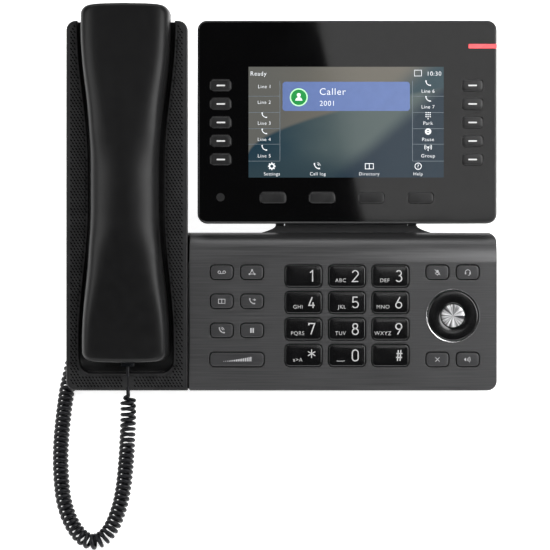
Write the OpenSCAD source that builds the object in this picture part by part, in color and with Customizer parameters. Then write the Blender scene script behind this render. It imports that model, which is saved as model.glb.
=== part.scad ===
// Desk IP phone: a handset cradle on the left, a dial pad on the right and a display head that
// floats behind the pad on a short neck and tilts.
// Every piece is drawn in the face frame (u to the right, v up the slope, w out of the face),
// then on_face() lays it back, so that the user sits at -Y and the desk is the plane z = 0.

/* [Stance] */
// Angle of the face above the desk, in degrees
stand_angle = 28; // [27:0.5:29]
// Height of the face's front edge above the desk
front_height = 18; // [18:0.5:19]

/* [Base] */
// Overall width of the phone
base_width = 244.4; // [244:0.2:246]
// Width of the cradle column
column_width = 68.9; // [68:0.1:69.5]
// Length of the cradle column up the slope
column_length = 210; // [208:1:212]
// Length of the keypad panel up the slope
pad_length = 89.9; // [89:0.1:91]
// Gap between the cradle column and the keypad panel
seam = 0.9; // [0.6:0.1:1.2]
// Thickness of the rim that shows from the side
rim = 10; // [10:0.5:11]
// Depth of the underside below the face
tub_depth = 25; // [25:0.5:26]
// Length of the roll along the keypad panel's far edge
roll_length = 17; // [16:0.5:18]
// Depth of the roll along the keypad panel's far edge
roll_depth = 11.5; // [11.2:0.1:11.8]
// Radius of the outer corners
corner_r = 5.4; // [4:0.2:6]
// Thickness of the moulded walls
wall = 2.2; // [2:0.1:2.4]

/* [Display head] */
// Width of the display head
head_width = 169.9; // [169:0.1:170.5]
// Height of the display head
head_height = 115.3; // [114:0.1:117]
// Thickness of the display head
head_thick = 12; // [11.5:0.5:12]
// Gap between the keypad panel and the display head
head_gap = 4.9; // [4.5:0.1:6]
// Width of the neck at the display head
neck_width = 81; // [70:1:90]

/* [Handset] */
// Length of the handset
handset_length = 203; // [200:1:205]
// Width of the handset at its waist
waist_width = 38.3; // [36:0.1:40]
// Width of the earpiece end
ear_width = 51; // [49:0.1:51]
// Width of the mouthpiece end
mouth_width = 49.3; // [48:0.1:50]
// Height of the handle's underside above the face
grip_height = 8; // [8:0.5:10]

/* [Keys] */
// Width of a dial key
dial_key_w = 20.6; // [19:0.1:21]
// Height of a dial key
dial_key_h = 12.2; // [11:0.1:12.5]
// Clearance around each key
key_gap = 0.35; // [0.3:0.05:0.5]
// How far a key stands out of the panel
key_rise = 1.2; // [0.8:0.1:1.5]

/* [Hidden] */
$fn = 48;
EPS = 0.01;

// Outline of the base
left_edge = -base_width / 2;
right_edge = base_width / 2;
column_right = left_edge + column_width;
pad_left = column_right + seam;

// The underside tub, inset from the rim
tub_front = 10;
tub_side = 12.2;
tub_left = left_edge + tub_side;
tub_right = right_edge - tub_side;
column_tub_right = column_right - 12.7;
column_tub_rear = column_length - 12;
flange = 1.2;
tub_roll_r = 17;

// The rib in the seam between the column and the keypad panel
rib_gap = 0.1;
rib_start = 1;
rib_depth = 3;
rib_foot = 4;
flange_inset = wall + 0.3;
seat_gap = 0.1;

// The handset and its recess in the cradle
handset_u = -88.2;
handset_v0 = 16.4;
handset_v1 = handset_v0 + handset_length;
handset_low = -6.5;
handset_bevel = 3;
waist_v = 112;
recess_gap = 2.2;
recess_v0 = 10;
recess_depth = 4.5;
well_depth = 7;
mouth_well_end = 66;
ear_well_start = 160;
cord_u = -87.2;
cord_w = -1;
notch = 4;
notch_depth = 2.2;

// The cord's plugs: one in the handset, one in the socket under the base's left edge
plug_size = [7.7, 13, 6.5];
plug_room = 0.25;
latch = 2.4;
handset_plug_low = [cord_u - plug_size[0] / 2, handset_v0 - 2.8, cord_w - 3.35];
base_plug_low = [-115.5 - plug_size[0] / 2, 47.4, -21.95];
socket_v = [50, 70];
socket_depth = 11;

// The display head, its hinge and the neck
head_u = right_edge - head_width / 2;
head_v0 = pad_length + head_gap;
head_v = head_v0 + head_height / 2;
glass = 2.6;
hinge_v = head_v0 + 5.3;
hinge_w = -18;
knuckle_r = 5.5;
pin_r = 2;
pin_clearance = 0.05;
lug_width = 5;
neck_flare = 8;
neck_step = 4;
neck_top = -17.6;
head_wall = 2;
screen_mid = [36.6, 152.3];
screen_size = [118, 70];
screen_low = -7.2;
head_board = [162, 107];
head_board_low = -8.6;
lamp_v = 195.4;
lamp_length = 16.2;
lamp_width = 2.7;
lamp_height = 8.8;
lamp_gap = 0.1;
head_corner_r = 5.5;

// Key grid
pad_u = 37.1;
dial_pitch_u = 24.65;
dial_pitch_v = 15;
dial_top_v = 65;
dial_r = 2.4;
function_key = [12.5, 7.7];
function_r = 2.2;
function_pitch_u = 17.2;
function_pitch_v = 16.5;
function_top_v = 67.2;
left_keys_u = -25.3;
right_keys_u = 97;
rocker_length = 30.3;
ring_centre = [97.2, 42.5];
ring_r = 14.2;
ring_hole_r = 7.1;
ok_r = 6.7;
line_key = [11.3, 6.1];
line_r = 1.8;
line_span_u = 142.8;
line_pitch_v = 10.5;
line_mid_v = 152.1;
soft_key = [14.1, 5.8];
soft_pitch_u = 27.87;
soft_v = 109.4;
line_rise = 0.6;
key_flange = 0.8;
flange_drop = 0.3;
flange_thick = 1.2;

// The rocker's and the ring's pivots: stubs that run in saddles under the panel
rocker_room = 0.9;
pivot_r = 0.6;
ring_pivot_r = 0.5;
pivot_play = 0.05;
pivot_length = 1.8;
pivot_root = 0.5;
saddle_length = 1.2;
saddle_half = 1.5;
rocker_axis_w = -wall - rocker_room - flange_drop - flange_thick / 2;
ring_low = -4.4;
ring_axis_w = ring_low + ring_pivot_r;

// The board under the keys
board_top = -6.4;
board_thick = 1.6;
board = [[pad_left + 5, 15], [tub_right - 4, pad_length - 12]];
dome_r = 2.5;
dome_height = 0.6;
rocker_dome_u = 11;
connector = [[-40, 18], [-20, 30]];
connector_height = 8;

// Loudspeaker under the column
speaker_v = 112;
speaker_r = 18.5;
magnet_r = 11;
speaker_low = -20;
magnet_height = 3;
basket_height = 4;
frame_height = 2;

// The stand
leg_front_v = 105;
foot_height = 1.5;
foot_r = 6;

// The box of everything but the cord runs from the face's front edge to the handset's far end
depth = handset_v1 * cos(stand_angle) - (handset_low + handset_bevel) * sin(stand_angle);
y_mid = depth / 2;

// The cord's own sizes, and the route of its middle from the handset's plug to the base's
coil_r = 4.75;
lead_r = 1.15;
cord_sides = 10;
lead_out = [[-87.2, -85.4, 23.4], [-87.1, -98.2, 16.6]];
coil_route = [
    [-87, -99.3, 16], [-87, -102.5, 14.8], [-87, -106, 12.5], [-87, -110.2, 9.5], [-87.2, -115, 7.2],
    [-87.4, -121.7, 5.6], [-87.6, -130.2, 4.9], [-88.5, -146.6, 4.9], [-89.9, -158.8, 4.9],
    [-91.8, -167, 4.9], [-94.6, -175.2, 4.9], [-98.8, -181.8, 4.9], [-104.6, -184.9, 4.9],
    [-110.4, -182.8, 4.9], [-115, -177.6, 4.9], [-118.6, -171, 4.9], [-121.3, -163.2, 4.9],
    [-123.1, -154.7, 4.9], [-124.7, -138.3, 4.9], [-124.9, -122, 4.9], [-124, -105.6, 4.9],
    [-122.9, -93.2, 4.9], [-121.8, -85.5, 5.2], [-120.3, -78.5, 7.2], [-118.9, -73.1, 10],
    [-117, -66.9, 13.3], [-115.8, -61.6, 16.1], [-115.5, -57.2, 18.5]
];
lead_in = [[-115.5, -56.6, 18.8], [-115.5, -47.4, 23.7]];

// ---------------------------------------------------------------- frames and plain shapes

module on_face() {
    translate([0, -y_mid, front_height])
        rotate([stand_angle, 0, 0])
            children();
}

// A side view (v across, w up) drawn out along u, from u0 to u1
module along_u(u0, u1) {
    translate([u0, 0, 0])
        rotate([90, 0, 90])
            linear_extrude(u1 - u0)
                children();
}

// A plate between two heights
module slab(w0, w1) {
    translate([0, 0, w0])
        linear_extrude(w1 - w0)
            children();
}

module block(low, high) {
    translate(low)
        cube(high - low);
}

module round_rect(size, r) {
    square([size[0] - 2 * r, size[1]], center = true);
    square([size[0], size[1] - 2 * r], center = true);
    for (x = [-1, 1], y = [-1, 1])
        translate([x * (size[0] / 2 - r), y * (size[1] / 2 - r)])
            circle(r);
}

// A rectangle with round corners, given by its low and high corners
module round_span(low, high, r) {
    translate((low + high) / 2)
        round_rect(high - low, r);
}

// Half a cosine wave from 0 to 1
function ease(x) = (1 - cos(180 * min(max(x, 0), 1))) / 2;

function arc(centre, r, a0, a1, steps) = [
    for (i = [0 : steps]) centre + r * [cos(a0 + (a1 - a0) * i / steps), sin(a0 + (a1 - a0) * i / steps)]
];

// ---------------------------------------------------------------- key positions

function dial_at(row, col) = [pad_u + (col - 1) * dial_pitch_u, dial_top_v - row * dial_pitch_v];
function function_at(bank_u, row, side) =
    [bank_u + (side - 0.5) * function_pitch_u, function_top_v - row * function_pitch_v];
function rocker_at() = [left_keys_u, function_top_v - 3 * function_pitch_v];
function line_at(side, row) =
    [pad_u - 0.1 + (side - 0.5) * line_span_u, line_mid_v + (2 - row) * line_pitch_v];
function soft_at(i) = [pad_u + (i - 1.5) * soft_pitch_u, soft_v];

// Cells of the six-key bank on the left and the four-key bank on the right
LEFT_ROWS = [0, 1, 2];
RIGHT_ROWS = [0, 3];

// One stub of the volume rocker's pivot, along v, past its flange on either side
module rocker_pivot(side, r, past) {
    reach = function_key[1] / 2 + key_flange - pivot_root;
    translate([rocker_at()[0], rocker_at()[1] + side * reach, rocker_axis_w])
        rotate([-90 * side, 0, 0])
            cylinder(h = pivot_root + pivot_length + past, r = r);
}

// One stub of the navigation ring's pivot, along u, past its flange on either side
module ring_pivot(side, r, past) {
    reach = ring_r + key_flange - pivot_root;
    translate([ring_centre[0] + side * reach, ring_centre[1], ring_axis_w])
        rotate([0, 90 * side, 0])
            cylinder(h = pivot_root + pivot_length + past, r = r);
}

// Blocks under the panel with a bore for each stub
module pivot_saddles() {
    bore_start = pivot_length - saddle_length;
    rocker_reach = function_key[1] / 2 + key_flange + bore_start;
    ring_reach = ring_r + key_flange + bore_start;
    for (side = [-1, 1]) {
        difference() {
            translate([rocker_at()[0], rocker_at()[1] + side * (rocker_reach + saddle_length / 2)])
                slab(rocker_axis_w - saddle_half, -wall / 2)
                    square([2 * saddle_half, saddle_length], center = true);
            rocker_pivot(side, pivot_r + pivot_play, 1);
        }
        difference() {
            translate([ring_centre[0] + side * (ring_reach + saddle_length / 2), ring_centre[1]])
                slab(ring_axis_w - saddle_half, -wall / 2)
                    square([saddle_length, 2 * saddle_half], center = true);
            ring_pivot(side, ring_pivot_r + pivot_play, 1);
        }
    }
}

module panel_key_outlines(grow) {
    for (row = [0 : 3], col = [0 : 2])
        translate(dial_at(row, col))
            round_rect([dial_key_w + 2 * grow, dial_key_h + 2 * grow], dial_r + grow);
    for (side = [0, 1]) {
        for (row = LEFT_ROWS)
            translate(function_at(left_keys_u, row, side))
                round_rect(function_key + 2 * grow * [1, 1], function_r + grow);
        for (row = RIGHT_ROWS)
            translate(function_at(right_keys_u, row, side))
                round_rect(function_key + 2 * grow * [1, 1], function_r + grow);
    }
    translate(rocker_at())
        round_rect([rocker_length + 2 * grow, function_key[1] + 2 * grow], function_r + grow);
    translate(ring_centre)
        circle(ring_r + grow);
}

module head_key_outlines(grow) {
    for (side = [0, 1], row = [0 : 4])
        translate(line_at(side, row))
            round_rect(line_key + 2 * grow * [1, 1], line_r + grow);
    for (i = [0 : 3])
        translate(soft_at(i))
            round_rect(soft_key + 2 * grow * [1, 1], line_r + grow);
}

// A key: its cap through the panel and the flange that keeps it in
module key(at, size, r, rise, skin) {
    flange_top = -skin - flange_drop;
    translate(at) {
        slab(flange_top - flange_thick, rise)
            round_rect(size, r);
        slab(flange_top - flange_thick, flange_top)
            round_rect(size + 2 * key_flange * [1, 1], r);
    }
}

// ---------------------------------------------------------------- handset outlines

// Half the handset's width at v
function half_width(v) = v > waist_v
    ? waist_width / 2 + (ear_width - waist_width) / 2 * ease((v - waist_v - 15) / 80)
    : waist_width / 2 + (mouth_width - waist_width) / 2 * ease((waist_v - v - 8) / 77);

// The outline seen from above, grown by grow, between two values of v, with round corners
module handset_plan(grow, v0, v1, r) {
    steps = 24;
    low = half_width(v0) + grow;
    high = half_width(v1) + grow;
    right = concat(
        arc([low - r, v0 + r], r, -90, 0, 6),
        [
            for (i = [1 : steps - 1])
                let (v = v0 + r + (v1 - v0 - 2 * r) * i / steps)
                [half_width(v) + grow, v]
        ],
        arc([high - r, v1 - r], r, 0, 90, 6)
    );
    left = [for (i = [len(right) - 1 : -1 : 0]) [-right[i][0], right[i][1]]];
    translate([handset_u, 0])
        polygon(concat(right, left));
}

// Height of the handset's back, its underside and the line where its two halves meet
function handset_top(v) = 25 - 6 * pow((v - waist_v) / (handset_length / 2), 2);
function handset_arch(v) = v > waist_v
    ? grip_height - (grip_height - handset_low) * ease((v - 142) / 34)
    : grip_height - (grip_height - handset_low) * ease((86 - v) / 34);
function end_bevel(v) = max(0, handset_bevel - min(v - handset_v0, handset_v1 - v));
function handset_under(v) = handset_arch(v) + end_bevel(v);
function handset_seam(v) = handset_arch(v) + 6;

// The side view of a layer of the handset between two heights, given at even steps of v
module handset_side(v0, v1, lift_low, lift_high, upper) {
    steps = 40;
    vs = [for (i = [0 : steps]) v0 + (v1 - v0) * i / steps];
    low = [for (v = vs) [v, (upper ? handset_seam(v) : handset_under(v)) + lift_low]];
    high = [
        for (i = [steps : -1 : 0]) [vs[i], (upper ? handset_top(vs[i]) : handset_seam(vs[i])) + lift_high]
    ];
    polygon(concat(low, high));
}

module handset_layer(upper, grow, v_inset, lift_low, lift_high) {
    intersection() {
        slab(-20, 40)
            handset_plan(grow, handset_v0 + v_inset, handset_v1 - v_inset, 5);
        along_u(-130, -50)
            handset_side(handset_v0 + v_inset, handset_v1 - v_inset, lift_low, lift_high, upper);
    }
}

module plug_pocket() {
    room = plug_room * [1, 1, 1];
    block(handset_plug_low - room, handset_plug_low + plug_size + room + [0, 1, 0.5]);
}

// ---------------------------------------------------------------- base

module column_plan(inset) {
    r = corner_r - min(inset, 3);
    low = [left_edge + inset, inset];
    high = [column_right - inset, column_length - inset];
    round_span(low, high, r);
    // The corner beside the keypad panel is square
    translate([high[0] - 2 * r, low[1]])
        square(2 * r);
}

module cradle_shell() {
    color("#2b2b2c")
        on_face()
            difference() {
                slab(-rim, 0)
                    column_plan(0);
                slab(-recess_depth, 1)
                    handset_plan(recess_gap, recess_v0, column_length + 20, 7.4);
                // Wells for the mouthpiece and the earpiece
                intersection() {
                    slab(-well_depth, 1)
                        handset_plan(recess_gap, recess_v0, column_length + 20, 7.4);
                    union() {
                        block([left_edge, 0, -well_depth], [column_right, mouth_well_end, 1]);
                        block([left_edge, ear_well_start, -well_depth], [column_right, column_length + 1, 1]);
                    }
                }
                // Notch for the cord
                block([cord_u - notch / 2, -1, cord_w - notch_depth], [cord_u + notch / 2, recess_v0 + 1, 1]);
                // Seat for the cover's flange, and the hollow between the rim and the recess's floor
                slab(-rim - 1, -rim + flange + seat_gap)
                    column_plan(wall);
                slab(-rim - 1, -recess_depth - wall)
                    intersection() {
                        column_plan(wall);
                        translate([left_edge, mouth_well_end + wall])
                            square([column_width, ear_well_start - mouth_well_end - 2 * wall]);
                    }
            }
}

// Side view of the pad: flat, then a roll down its far edge
function pad_profile(inset, w_low) =
    let (
        size = [roll_length - inset, roll_depth - inset],
        centre = [pad_length - roll_length, -roll_depth],
        reach = acos(min(1, max(0, (w_low + roll_depth) / size[1])))
    )
    concat(
        [[inset, w_low], [inset, -inset]],
        [for (i = [0 : 16]) let (a = reach * i / 16) centre + [size[0] * sin(a), size[1] * cos(a)]]
    );

module keypad_panel() {
    color("#5d5e62")
        on_face()
            difference() {
                intersection() {
                    along_u(pad_left, right_edge)
                        polygon(pad_profile(0, -rim));
                    slab(-rim - 1, 1)
                        round_span([pad_left - 20, 0], [right_edge, pad_length], corner_r);
                }
                along_u(pad_left + wall, right_edge - wall)
                    polygon(pad_profile(wall, -rim - EPS));
                slab(-rim, 1)
                    panel_key_outlines(key_gap);
            }
    color("#5d5e62")
        on_face()
            pivot_saddles();
}

// Side view, in the row's own Y and Z, of the leg moulded under the column
function face_yz(v, w) = [
    v * cos(stand_angle) - w * sin(stand_angle) - y_mid,
    v * sin(stand_angle) + w * cos(stand_angle) + front_height
];

leg_top_front = face_yz(leg_front_v, -tub_depth + 1);
leg_top_rear = face_yz(column_tub_rear, -tub_depth + 1);
leg_front_y = leg_top_front[0] + 14;
leg_rear_y = leg_top_rear[0] - 8;

module leg_profile(inset) {
    polygon([
        leg_top_front + inset * [1.2, 1],
        [leg_front_y + inset, foot_height + inset],
        [leg_rear_y - inset, foot_height + inset],
        leg_top_rear + [-1.1 * inset, inset]
    ]);
}

// The network sockets sit in the leg's right-hand side, level with the desk
socket_y = leg_front_y + 32;
socket_z = 26;
socket_block = [16, 34, 15];
port = [12, 9.4];
port_pitch = 16;
port_depth = 12;
socket_low = [
    column_tub_right - socket_block[0],
    socket_y - socket_block[1] / 2,
    socket_z - socket_block[2] / 2
];

module jack_block() {
    block([left_edge + 1.2, socket_v[0], -tub_depth], [tub_left + 1, socket_v[1], -rim]);
}

// A rib that closes the seam between the column and the keypad panel from below
module seam_rib() {
    block([column_right + rib_gap, rib_start, -rim - EPS],
        [pad_left - rib_gap, pad_length - roll_length, -rib_depth]);
    block([column_right - rib_foot, rib_start, -rim - flange],
        [pad_left + rib_foot, tub_front + wall, -rim]);
}

module bottom_cover() {
    color("#222223")
        difference() {
            union() {
                on_face() {
                    slab(-rim, -rim + flange)
                        column_plan(flange_inset);
                    slab(-rim, -rim + flange)
                        round_span([pad_left + flange_inset, flange_inset],
                            [right_edge - flange_inset, pad_length - 6], 3);
                    along_u(tub_left, tub_right)
                        intersection() {
                            polygon(concat([[tub_front, -tub_depth], [tub_front, 0]],
                                arc([pad_length - tub_roll_r, -tub_roll_r], tub_roll_r, 90, 0, 24),
                                [[pad_length, -tub_depth]]));
                            translate([0, -tub_depth])
                                square([pad_length, tub_depth - rim]);
                        }
                    block([tub_left, tub_front, -tub_depth], [column_tub_right, column_tub_rear, -rim]);
                    jack_block();
                    seam_rib();
                }
                along_leg(0);
            }
            on_face() {
                block([tub_left + wall, tub_front + wall, -tub_depth + wall],
                    [tub_right - wall, pad_length - wall, -rim]);
                block([tub_left + wall, tub_front + wall, -tub_depth + wall],
                    [column_tub_right - wall, column_tub_rear - wall, -rim]);
                block([tub_left + wall, tub_front + wall, -rim - EPS],
                    [column_right - 6, column_tub_rear - wall, 0]);
                block([pad_left + 6, tub_front + wall, -rim - EPS],
                    [tub_right - wall, pad_length - 8, 0]);
                // Socket for the handset cord's plug
                block([base_plug_low[0] - plug_room, socket_v[0] - 1, base_plug_low[2] - plug_room],
                    [base_plug_low[0] + plug_size[0] + plug_room, socket_v[0] + socket_depth,
                        base_plug_low[2] + plug_size[2] + plug_room + 0.5]);
            }
            along_leg(wall);
            translate(socket_low)
                cube(socket_block + [1, 0, 0]);
        }
}

module along_leg(inset) {
    translate([tub_left + inset, 0, 0])
        rotate([90, 0, 90])
            linear_extrude(column_tub_right - tub_left - 2 * inset)
                leg_profile(inset);
}

module network_sockets() {
    color("#8d8f92")
        difference() {
            translate(socket_low)
                cube(socket_block);
            for (side = [-1, 1])
                translate([column_tub_right - port_depth, socket_y + side * port_pitch / 2, socket_z])
                    translate([0, -port[0] / 2, -port[1] / 2])
                        cube([port_depth + 1, port[0], port[1]]);
        }
}

// The foot behind the neck: a wedge under the tub that runs back to a cross bar on the desk
stem_u = [5, 69];
bar_u = [-26, 100];
bar_y = [face_yz(0, 0)[0] + 134, face_yz(0, 0)[0] + 150];
bar_height = 11;

function stem_profile(inset) = [
    face_yz(56, -tub_depth) + inset * [1.6, -0.4],
    face_yz(87, -tub_depth) + inset * [-0.6, -1.4],
    [face_yz(87, -tub_depth)[0] + 6 - 0.6 * inset, bar_height + 8 - 0.4 * inset],
    [bar_y[1] - inset, bar_height - inset],
    [bar_y[1] - inset, foot_height + inset],
    [face_yz(56, -tub_depth)[0] + 6 + inset, foot_height + inset]
];

module foot_stand() {
    color("#222223")
        difference() {
            union() {
                along_u(stem_u[0], stem_u[1])
                    polygon(stem_profile(0));
                translate([0, 0, foot_height])
                    linear_extrude(bar_height - foot_height)
                        round_span([bar_u[0], bar_y[0]], [bar_u[1], bar_y[1]], 4);
            }
            along_u(stem_u[0] + wall, stem_u[1] - wall)
                polygon(stem_profile(wall));
        }
}

// Six feet: two under the front, two under the leg, two under the cross bar
front_foot = [95, 28];
front_foot_height = 9;
foot_inset = 10;
leg_mid_u = (tub_left + column_tub_right) / 2;
bar_mid_y = (bar_y[0] + bar_y[1]) / 2;
feet_spots = [
    [-front_foot[0], front_foot[1] - y_mid], [front_foot[0], front_foot[1] - y_mid],
    [leg_mid_u, leg_front_y + foot_inset], [leg_mid_u, leg_rear_y - foot_inset],
    [bar_u[0] + foot_inset, bar_mid_y], [bar_u[1] - foot_inset, bar_mid_y]
];

module rubber_feet() {
    color("#141414")
        difference() {
            for (i = [0 : 5])
                translate(feet_spots[i])
                    cylinder(h = i < 2 ? front_foot_height : foot_height, r = foot_r);
            on_face()
                block([left_edge, 0, -tub_depth], [right_edge, pad_length, 0]);
        }
}

module main_board() {
    color("#1f5a36")
        on_face() {
            slab(board_top - board_thick, board_top)
                round_span(board[0], board[1], 2);
            // Switch domes under the keys
            slab(board_top - EPS, board_top + dome_height) {
                for (row = [0 : 3], col = [0 : 2])
                    translate(dial_at(row, col))
                        circle(dome_r);
                for (side = [0, 1], row = LEFT_ROWS)
                    translate(function_at(left_keys_u, row, side))
                        circle(dome_r);
                for (side = [-1, 1])
                    translate(rocker_at() + [side * rocker_dome_u, 0])
                        circle(dome_r);
            }
            block([connector[0][0], connector[0][1], board_top - board_thick - connector_height],
                [connector[1][0], connector[1][1], board_top - board_thick + EPS]);
        }
}

module loudspeaker() {
    color("#3a3a3a")
        on_face()
            translate([handset_u, speaker_v, speaker_low]) {
                cylinder(h = magnet_height, r = magnet_r);
                translate([0, 0, magnet_height - EPS])
                    cylinder(h = basket_height, r1 = magnet_r, r2 = speaker_r);
                translate([0, 0, magnet_height + basket_height - 2 * EPS])
                    cylinder(h = frame_height, r = speaker_r);
            }
}

function neck_edge(v) = neck_width / 2 + neck_flare * (1 - sin(90 * (v - pad_length) / neck_step));

module neck_arm() {
    steps = 8;
    right = [for (i = [0 : steps]) let (v = pad_length + neck_step * i / steps) [neck_edge(v), v]];
    left = [for (i = [steps : -1 : 0]) [-right[i][0], right[i][1]]];
    barrel_half = neck_width / 2 - lug_width - 0.4;
    color("#161617")
        on_face()
            translate([pad_u, 0, 0])
                difference() {
                    union() {
                        slab(-tub_depth, neck_top)
                            polygon(concat(right, left));
                        block([-barrel_half, pad_length + 1, -23], [barrel_half, hinge_v, neck_top]);
                        translate([-barrel_half, hinge_v, hinge_w])
                            rotate([0, 90, 0])
                                cylinder(h = 2 * barrel_half, r = knuckle_r);
                    }
                    translate([-neck_width / 2, hinge_v, hinge_w])
                        rotate([0, 90, 0])
                            cylinder(h = neck_width, r = pin_r);
                }
}

module hinge_pin() {
    pin_half = neck_width / 2 - 0.5;
    color("#b9bbbe")
        on_face()
            translate([pad_u - pin_half, hinge_v, hinge_w])
                rotate([0, 90, 0])
                    cylinder(h = 2 * pin_half, r = pin_r);
}

// Screws that hold the underside to the column and the pad
function screw_spots() = [
    [tub_left + 14, 30], [column_tub_right - 10, 95], [-20, 30], [90, 30], [90, 76]
];

module housing_screws() {
    color("#9b9da0")
        on_face()
            for (spot = screw_spots())
                translate([spot[0], spot[1], -tub_depth - 0.9])
                    difference() {
                        cylinder(h = 0.9, r = 2.8);
                        translate([0, 0, -EPS])
                            cylinder(h = 0.6, r = 1.2, $fn = 6);
                    }
}

// ---------------------------------------------------------------- display head

module lamp_outline(grow) {
    translate([right_edge - lamp_length - grow, lamp_v - lamp_width / 2 - grow])
        square([lamp_length + 3 * grow, lamp_width + 2 * grow]);
}

module display_back() {
    lug_offset = neck_width / 2 - lug_width;
    color("#1b1b1c")
        on_face()
            difference() {
                union() {
                    translate([head_u, head_v])
                        slab(-head_thick, -glass)
                            round_rect([head_width, head_height], head_corner_r);
                    for (side = [-1, 1])
                        translate([pad_u + side * (lug_offset + lug_width / 2), hinge_v, 0]) {
                            translate([-lug_width / 2, 0, hinge_w])
                                rotate([0, 90, 0])
                                    cylinder(h = lug_width, r = knuckle_r);
                            block([-lug_width / 2, head_v0 - hinge_v, hinge_w],
                                [lug_width / 2, knuckle_r, -head_thick + EPS]);
                        }
                }
                translate([head_u, head_v])
                    slab(-head_thick + head_wall, 1)
                        round_rect([head_width - 2 * head_wall, head_height - 2 * head_wall],
                            head_corner_r - head_wall);
                translate([0, hinge_v, hinge_w])
                    rotate([0, 90, 0])
                        translate([0, 0, pad_u - neck_width])
                            cylinder(h = 2 * neck_width, r = pin_r + pin_clearance);
                slab(-lamp_height - 0.2, 1)
                    lamp_outline(lamp_gap);
            }
}

module display_glass() {
    color("#0c0c0d")
        on_face()
            slab(-glass, 0)
                difference() {
                    translate([head_u, head_v])
                        round_rect([head_width, head_height], head_corner_r);
                    head_key_outlines(key_gap);
                    lamp_outline(lamp_gap);
                }
}

module display_module() {
    color("#2f5f78")
        on_face()
            difference() {
                union() {
                    translate(screen_mid)
                        slab(screen_low, -glass - 0.1)
                            square(screen_size, center = true);
                    translate([head_u, head_v])
                        slab(head_board_low, screen_low + EPS)
                            square(head_board, center = true);
                }
                slab(-head_thick, 0)
                    lamp_outline(2 * lamp_gap);
            }
}

module message_lamp() {
    color("#e8505a")
        on_face()
            slab(-lamp_height, 0)
                lamp_outline(0);
}

// ---------------------------------------------------------------- handset and cord

module handset_back() {
    color("#1a1a1b")
        on_face()
            difference() {
                handset_layer(true, 0, 0, 0, 0);
                handset_layer(true, -2, 2, -1, -2.2);
                plug_pocket();
            }
}

module handset_front() {
    color("#1a1a1b")
        on_face()
            difference() {
                handset_layer(false, 0, 0, 0, 0);
                handset_layer(false, -2, 2, 2, 1);
                plug_pocket();
            }
}

module handset_capsules() {
    color("#6d6f72")
        on_face() {
            translate([handset_u, 195, handset_low + 2.1])
                cylinder(h = 6, r = 15);
            translate([handset_u, 40, handset_low + 2.1])
                cylinder(h = 4, r = 5);
        }
}

module plug(low) {
    size = plug_size;
    block(low, low + size);
    // The latch on the plug's upper side
    block(low + [size[0] / 2 - latch / 2, 0, size[2] - EPS],
        low + [size[0] / 2 + latch / 2, size[1] * 0.6, size[2] + 0.4]);
}

module handset_plug() {
    color("#20242c")
        on_face()
            plug(handset_plug_low);
}

module base_plug() {
    color("#20242c")
        on_face()
            plug(base_plug_low);
}

function unit(a) = a / norm(a);

// A closed tube along a route of points, with one radius per point
module tube(route, radii) {
    last = len(route) - 1;
    rings = [
        for (i = [0 : last])
            let (
                along = unit(route[min(i + 1, last)] - route[max(i - 1, 0)]),
                side = unit(cross(along, [0, 0, 1])),
                up = cross(side, along)
            )
            for (k = [0 : cord_sides - 1])
                route[i] + radii[i] * (cos(360 * k / cord_sides) * side + sin(360 * k / cord_sides) * up)
    ];
    skin = [
        for (i = [0 : last - 1], k = [0 : cord_sides - 1])
            let (a = i * cord_sides + k, b = i * cord_sides + (k + 1) % cord_sides)
            [a, a + cord_sides, b + cord_sides, b]
    ];
    first_cap = [for (k = [0 : cord_sides - 1]) k];
    last_cap = [for (k = [cord_sides - 1 : -1 : 0]) last * cord_sides + k];
    polyhedron(points = rings, faces = concat(skin, [first_cap, last_cap]));
}

module handset_cord() {
    color("#15171c")
        tube(
            concat(lead_out, coil_route, lead_in),
            concat([for (p = lead_out) lead_r], [for (p = coil_route) coil_r], [for (p = lead_in) lead_r])
        );
}

// ---------------------------------------------------------------- keys

module dial_key(row, col) {
    color("#0d0d0e")
        on_face()
            key(dial_at(row, col), [dial_key_w, dial_key_h], dial_r, key_rise, wall);
}

module function_key_cap(bank_u, row, side) {
    color("#3c3c3f")
        on_face()
            key(function_at(bank_u, row, side), function_key, function_r, key_rise, wall);
}

module volume_rocker() {
    color("#3c3c3f")
        on_face() {
            key(rocker_at(), [rocker_length, function_key[1]], function_r, key_rise, wall + rocker_room);
            for (side = [-1, 1])
                rocker_pivot(side, pivot_r, 0);
        }
}

module navigation_ring() {
    color("#0d0d0e")
        on_face()
            difference() {
                union() {
                    translate(ring_centre) {
                        slab(ring_low, key_rise)
                            circle(ring_r);
                        slab(ring_low, ring_low + 2 * ring_pivot_r)
                            circle(ring_r + key_flange);
                    }
                    for (side = [-1, 1])
                        ring_pivot(side, ring_pivot_r, 0);
                }
                translate(ring_centre)
                    slab(ring_low - 1, key_rise + 1)
                        circle(ring_hole_r);
            }
}

module ok_button() {
    color("#b4b6ba")
        on_face()
            translate(ring_centre)
                slab(ring_low + 0.4, key_rise + 0.2)
                    circle(ok_r);
}

module line_key_cap(side, row) {
    color("#101011")
        on_face()
            key(line_at(side, row), line_key, line_r, line_rise, glass);
}

module soft_key_cap(i) {
    color("#101011")
        on_face()
            key(soft_at(i), soft_key, line_r, line_rise, glass);
}

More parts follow.
